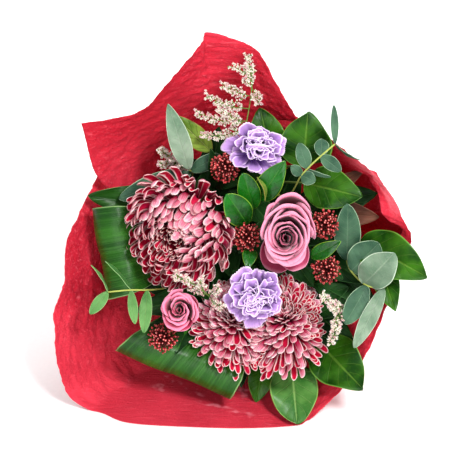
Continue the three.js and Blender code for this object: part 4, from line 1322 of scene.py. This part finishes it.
def rose_petal(centre, axis, first, second, azimuth, span, radius, tall, roll, rng, columns=23, rows=22):
    """A cupped petal that wraps the middle of the rose. Its rim rolls outwards round a radius of roll."""
    s = np.linspace(0, 1, rows)[:, None]
    x = np.linspace(1, -1, columns)[None]
    wide = smoothstep(0.0, 0.4, s) * 0.6 + 0.4
    angle = azimuth + x * span * wide
    body = np.clip(s / 0.72, 0, 1)
    over = np.clip((s - 0.72) / 0.28, 0, 1) * 1.9 * (1 - 0.45 * x**4)
    belly = radius * (0.3 + 0.7 * np.sin(body * math.pi / 2) ** 0.9) * (1 - 0.09 * x)
    crown = 1 - 0.10 * x**2 - 0.16 * np.abs(x) ** 5
    out = belly + roll * (1 - np.cos(over))
    height = (tall - roll) * crown * body + roll * np.sin(over)
    wave = np.sin(x * rng.uniform(2.5, 4.5) + rng.uniform(0, 6))
    out = out + 0.085 * radius * wave * s**3 + 0.3 * np.sin(x * 11 + rng.uniform(0, 6)) * s**6
    height = height + 0.9 * np.sin(x * 4 + rng.uniform(0, 6)) * s**4
    angle = angle[..., None]
    outward = np.cos(angle) * first + np.sin(angle) * second
    return centre + out[..., None] * outward + height[..., None] * axis


def rose(name, base, lean, material, rings, wraps, guards, tall, seed, oval):
    """rings hold a radius, the petals' number, half span and share of height, the rim's roll and how far the
    ring's middle is moved upwards. wraps are single petals outside them, with an azimuth first and the moves
    aside and upwards last, and guards are open petals with an azimuth, length, half width, rise and curl."""
    piece, rng, base, axis, first, second = bloom_start(base, lean, seed)
    petals = []
    for order, (radius, count, span, share, roll, moved) in enumerate(rings):
        for k in range(count):
            azimuth = (k / count) * 2 * math.pi + order * 2.1 + rng.normal(0, 0.22)
            off = first * rng.normal(0, 0.11) + second * rng.normal(0, 0.09)
            middle = base + second * moved + off * radius
            petals.append((middle, azimuth, span * rng.uniform(0.88, 1.12), radius * rng.uniform(0.95, 1.05),
                           share * rng.uniform(0.95, 1.03), roll))
    for azimuth, radius, span, share, roll, aside, moved in wraps:
        petals.append((base + first * aside + second * moved, azimuth, span, radius, share, roll))
    for middle, azimuth, span, radius, share, roll in petals:
        grid = rose_petal(middle, axis, first, second * oval, azimuth, span, radius, tall * share, roll, rng)
        # chance grows towards the middle, where the rose material paints shade into the hollow
        chance = np.clip(1.15 - radius / rings[-1][0] * 1.1 + rng.normal(0, 0.08), 0, 1)
        piece.add(shell(grid, PETAL_THICKNESS, chance))
    for azimuth, length, widest, rise, curl in guards:
        grid = petal_grid(
            base + axis * tall * 0.15, around(azimuth, first, second), axis, length, math.radians(rise),
            math.radians(curl), guard_width(widest), GUARD_CHANNEL, 0.0, GUARD_COLUMNS, GUARD_ROWS)
        piece.add(shell(grid, PETAL_THICKNESS, 0.35 + rng.random() * 0.2))
    cup = smooth_line([base - axis * 3, base + axis * 2, base + axis * 6], len(ROSE_CUP))
    piece.add(tube(cup, ROSE_CUP, 12), 1)
    piece.build(name + "_petals", [material, STEM], "rose_petals", name + "_bloom")


def carnation_petal(start, out, axis, length, rise, curl, fan, ruffle, waves, rng, columns=39, rows=17):
    """A fan on a narrow claw, ruffled more and more towards its toothed rim."""
    s = np.linspace(0, 1, rows)[:, None]
    x = np.linspace(-1, 1, columns)[None]
    side = np.cross(out, axis)
    saw = np.abs(np.mod(x * 9 + rng.random(), 1) - 0.5)
    reach = s * (1 - 0.22 * x**2 - (0.07 * saw + 0.05 * np.sin(x * 5 + rng.uniform(0, 6))) * s**4)
    angle = rise + curl * reach**1.6
    spread = fan * smoothstep(0.05, 0.7, s) * x
    phase = rng.uniform(0, 2 * math.pi)
    wave = np.sin(x * waves * math.pi + phase) + 0.35 * np.sin(x * waves * 2.6 * math.pi + 2 * phase)
    lift = ruffle * s**2 * wave
    sway = ruffle * 0.5 * s**2 * np.cos(x * waves * math.pi + phase)
    angle = angle[..., None]
    ahead = np.cos(angle) * out + np.sin(angle) * axis
    up = np.cos(angle) * axis - np.sin(angle) * out
    radial = length * reach * np.cos(spread)
    lateral = length * reach * np.sin(spread) + sway
    return start + radial[..., None] * ahead + lateral[..., None] * side + lift[..., None] * up


# Each layer of a carnation: petals, rise, length share, half angle of the fan, ruffle depth, waves and curl.
CARNATION_LAYERS = (
    (5, 4, 1.1, 0.6, 3.2, 1.9, 16),
    (5, 22, 0.93, 0.62, 4.8, 1.7, 20),
    (6, 44, 0.88, 0.56, 6.4, 1.6, 22),
    (6, 64, 0.84, 0.5, 7.2, 1.4, 16),
    (5, 80, 0.8, 0.44, 6.6, 1.3, 4),
)


def carnation(name, base, lean, size, tall, seed, flat, first_azimuth):
    """Layers of ruffled petals over a green cup. flat scales the head upwards in the picture."""
    piece, rng, base, axis, first, second = bloom_start(base, lean, seed)
    mouth = base + axis * tall * 0.5
    for layer, (count, rise, reach, fan, ruffle, waves, curl) in enumerate(CARNATION_LAYERS):
        for k in range(count):
            azimuth = first_azimuth + (k + 0.5 * (layer % 2)) / count * 2 * math.pi + rng.normal(0, 0.2)
            out = around(azimuth, first, second)
            grid = carnation_petal(
                mouth + out * 1.5, out, axis, size * reach * rng.uniform(0.86, 1.06),
                math.radians(rise + rng.normal(0, 9)), math.radians(curl + rng.normal(0, 20)),
                fan * rng.uniform(0.85, 1.15), ruffle * rng.uniform(0.8, 1.25),
                waves * rng.uniform(0.8, 1.2), rng)
            grid = grid + ((grid - mouth) @ second * (flat - 1))[..., None] * second
            piece.add(shell(grid, CARNATION_THICKNESS, rng.random()))
    cup = smooth_line([base, base + axis * tall * 0.25, base + axis * tall * 0.54], len(CARNATION_CUP))
    piece.add(tube(cup, CARNATION_CUP, 14), 1)
    piece.build(name + "_petals", [CARNATION, STEM], "carnation_petals", name + "_bloom")


# The petals of the two roses, as rose() takes them.
ROSE_RINGS = (
    (3.0, 2, 1.5, 0.60, 0.5, -3), (6.4, 3, 1.2, 0.70, 0.7, -3), (10.0, 3, 1.3, 0.82, 1.0, -2),
    (13.4, 4, 1.15, 0.93, 1.4, -1), (16.8, 3, 1.35, 1.0, 1.8, 1), (19.6, 4, 1.15, 1.0, 2.4, 2),
    (21.6, 3, 1.3, 0.96, 3.0, 4),
)
ROSE_WRAPS = ((1.5, 23.5, 1.15, 0.86, 2.0, 2, 12), (0.45, 23.5, 0.8, 0.84, 2.4, 2, 7),
              (2.5, 22.0, 0.7, 0.86, 2.0, -2, 6), (4.6, 21.5, 1.0, 0.88, 3.4, 0, 1))
ROSE_GUARDS = ((-1.95, 44, 20, 12, 36), (-1.2, 43, 18, 18, 30), (0.55, 36, 13, 46, 10),
               (2.75, 34, 12, 40, 16), (2.35, 37, 11, 46, 6))
SMALL_ROSE_RINGS = (
    (2.4, 2, 1.5, 0.84, 0.4, 0), (5.4, 3, 1.3, 0.94, 0.8, 0), (8.8, 3, 1.25, 1.0, 1.4, 0),
    (12.4, 4, 1.1, 0.98, 2.0, 0),
)
SMALL_ROSE_WRAPS = (
    (0.3, 15.5, 1.0, 0.9, 2.6, 0, 0), (2.4, 15.8, 1.0, 0.88, 2.4, 0, 0), (4.4, 15.4, 1.1, 0.84, 2.8, 0, 0),
)
SMALL_ROSE_GUARDS = ((0.5, 25, 12, 30, 26), (-1.5, 26, 13, 24, 30), (2.6, 23, 12, 36, 20))


def flank_reversed(t, towards):
    """Turns many of the outer rays on the bias side."""
    return 0.6 * smoothstep(0.3, 0.9, towards) * smoothstep(0.55, 0.8, t)


def mostly_reversed(t, towards):
    """Turns the middle rays, but few of the outermost ones and of those on the bias side."""
    outer = 0.8 * smoothstep(0.6, 0.85, t)
    return 0.92 * smoothstep(0.02, 0.2, t) * (1 - outer) * (1 - 0.95 * smoothstep(0.1, 0.6, towards))


BIAS = (0.75, 0.65)  # to the upper right


def make_blooms():
    chrysanthemum("chrysanthemum_left", (-41, 5, -42), (-13, -18, 50), INCURVED, flank_reversed,
                  reach=66, count=320, seed=16, bias=BIAS, bias_curl=18, stretch=(1.14, 1.14))
    chrysanthemum("chrysanthemum_lower", (8, -93, -62), (4, 24, 42), REFLEXED, mostly_reversed,
                  reach=40, count=360, seed=12, stretch=(1, 1.42))
    chrysanthemum("chrysanthemum_right", (59, -92, -62), (-10, 24, 42), REFLEXED, mostly_reversed,
                  reach=41, count=410, seed=13, bias=BIAS, stretch=(1.5, 1.5), shorter=0.4)
    rose("rose_large", (58, -6, -34), (0, -3, 50), ROSE, ROSE_RINGS, ROSE_WRAPS, ROSE_GUARDS,
         tall=56, seed=21, oval=1.12)
    rose("rose_small", (-45, -83, -28), (-3, 3, 50), SMALL_ROSE, SMALL_ROSE_RINGS, SMALL_ROSE_WRAPS,
         SMALL_ROSE_GUARDS, tall=40, seed=22, oval=1.05)
    carnation("carnation_upper", (29, 74, -38), (0, 4, 50), size=32, tall=52, seed=31, flat=0.8,
              first_azimuth=0.4)
    carnation("carnation_lower", (30, -66, -36), (-2, -3, 50), size=31, tall=58, seed=32, flat=0.97,
              first_azimuth=0.9)


TWIG_STEPS = 24
FORK_SPACE = 1.7
FORK_FLORETS = 5
BUDS = 120
BUD_REACH = 14.5
BUD_SPREAD = math.radians(98)  # how far from its axis a cluster's outermost buds lean


def cluster(name, place, seed):
    """A skimmia cluster: a dome of buds, each at the end of its own bent branchlet."""
    rng = np.random.default_rng(seed)
    centre = cluster_foot(place) + (0, 0, 3)
    piece = Piece()
    for number in range(BUDS):
        azimuth = number * GOLDEN_ANGLE
        lean = BUD_SPREAD * math.sqrt((number + 0.5) / BUDS)
        flat = math.sin(lean)
        out = np.array([math.cos(azimuth) * flat, math.sin(azimuth) * flat, math.cos(lean)])
        out = unit(out + rng.normal(0, 0.09, 3))
        far = BUD_REACH * rng.uniform(0.7, 1.07)
        end = centre + out * far * (1, 1, 1.15)
        joint = centre + out * far * 0.45 + rng.normal(0, 0.9, 3)
        piece.add(tube([centre, joint, end], (0.75, 0.5, 0.42), 5), 1)
        radius = rng.uniform(0.9, 1.34)
        piece.add(bead(end, radius, out, stretch=rng.uniform(1.05, 1.3), chance=rng.random()))
    piece.build(name + "_buds", [BUD, BRANCHLET], "skimmia_buds", name + "_cluster")


def floret(piece, place, direction, rng, size):
    """A papery funnel: a green foot and four long petals that spread from it."""
    axis, first, second = bloom_frame(direction)
    tone = rng.random()
    for k in range(4):
        azimuth = k * math.pi / 2 + rng.uniform(0, 0.6)
        out = unit(axis * 1.1 + around(azimuth, first, second) * 0.8)
        piece.add(bead(place + out * 1.1 * size, 0.46 * size, out, stretch=2.6, chance=tone, level=1))
    piece.add(bead(place, 0.8 * size, axis, stretch=1.6, chance=0.2, level=1), 1)


def limonium(name, stem, spikes, seed):
    """A sprig whose spikes carry short forks to both sides, each with a few florets along it."""
    rng = np.random.default_rng(seed)
    piece = Piece()
    line, body = sprig_stem(name, stem, 0.5, **LIMONIUM_STEM)
    piece.add(body, 1)
    spurs = [(seen(base), seen(tip)) for base, tip in spikes]
    spurs.append((line[-9], line[-1] + (0, 2, 0)))
    for base, tip in spurs:
        start = nearest_on(line, base)
        way = tip - start
        aside = unit(np.cross(way, (0, 0, 1)))
        reach = np.linalg.norm(way)
        bow = start + way * 0.5 + aside * reach * rng.uniform(-0.1, 0.14)
        twig = smooth_line([start, bow, tip], TWIG_STEPS)
        piece.add(tube(twig, np.linspace(0.5, 0.28, TWIG_STEPS), 5), 1)
        forks = max(6, int(reach / FORK_SPACE))
        for k in range(forks):
            share = 0.12 + 0.88 * (k + rng.random() * 0.6) / forks
            fork = twig[min(TWIG_STEPS - 1, int(share * TWIG_STEPS))]
            swing = (1 if k % 2 else -1) * rng.uniform(0.5, 0.95)
            ahead = unit(around(swing, unit(way), aside) + (0, 0, rng.uniform(-0.2, 0.5)))
            span = ahead * (rng.uniform(4.2, 7.4) * (1.3 - 0.7 * share))
            piece.add(tube([fork, fork + span * 0.5, fork + span], (0.3, 0.26, 0.22), 4), 1)
            for number in range(FORK_FLORETS):
                place = fork + span * (0.28 + 0.19 * number) + rng.normal(0, 0.5, 3)
                direction = unit(ahead + rng.normal(0, 0.6, 3) + (0, 0, 0.4))
                floret(piece, place, direction, rng, rng.uniform(0.75, 1.2))
    piece.build(name + "_sprig", [FLORET, STEM], "limonium_florets", name)


CLUSTER_SEED = 41
LIMONIUM_SEED = 51


def make_fillers():
    for order, (name, place) in enumerate(CLUSTERS.items()):
        cluster(name, place, CLUSTER_SEED + order)
    for order, (name, (stem, spikes)) in enumerate(LIMONIUM_SPRIGS.items()):
        limonium(name, stem, spikes, LIMONIUM_SEED + order)


# ---------------------------------------- Stage

SENSOR = 36.0
FRAME_WIDTH = 454  # millimetres across the picture, at the flower heads
FAR_CLIP = 20
FLOOR_REACH = 6
BOUQUET = (0, -0.1, 0.15)
# Lights: name, place, what it points at, size and power, in metres and watts.
LIGHTS = (
    ("key_light", (0.55, -1.1, 1.4), BOUQUET, 0.45, 32),
    ("fill_light", (-0.4, -1.6, 0.6), BOUQUET, 1.2, 14),
    ("top_light", (0.4, 0.6, 1.6), BOUQUET, 1.0, 10),
    ("floor_light", (0, 1.3, 1.3), (0, 1.1, 0), 1.6, 26),
)
WORLD_LIGHT = 0.42


def make_camera():
    camera = linked("camera", bpy.data.cameras.new("camera"))
    camera.data.sensor_width = SENSOR
    camera.data.lens = SENSOR * VIEW_DISTANCE / FRAME_WIDTH
    camera.data.clip_end = FAR_CLIP
    camera.location = to_world((0, 0, VIEW_DISTANCE))
    camera.rotation_euler = (TILT, 0, 0)
    bpy.context.scene.camera = camera


def make_lights():
    for name, place, target, size, power in LIGHTS:
        light = linked(name, bpy.data.lights.new(name, "AREA"))
        light.data.shape = "DISK"
        light.data.size = size
        light.data.energy = power
        light.location = place
        light.rotation_euler = (Vector(target) - Vector(place)).to_track_quat("-Z", "Y").to_euler()


def make_stage():
    mesh = bpy.data.meshes.new("floor")
    corners = [(x * FLOOR_REACH, y * FLOOR_REACH, 0) for x, y in ((-1, -1), (1, -1), (1, 1), (-1, 1))]
    mesh.from_pydata(corners, [], [(0, 1, 2, 3)])
    mesh.materials.append(floor_material())
    floor = linked("floor", mesh)
    make_lights()
    world = bpy.data.worlds.new("studio")
    world.use_nodes = True
    background = world.node_tree.nodes["Background"]
    background.inputs[0].default_value = (1, 1, 1, 1)
    background.inputs[1].default_value = WORLD_LIGHT
    bpy.context.scene.world = world
    bpy.context.scene.view_settings.view_transform = "Standard"


make_camera()
make_stage()
make_wrapper()
make_ties()
make_stems()
make_glossy_leaves()
make_stalked_leaves()
make_eucalyptus()
make_blooms()
make_fillers()
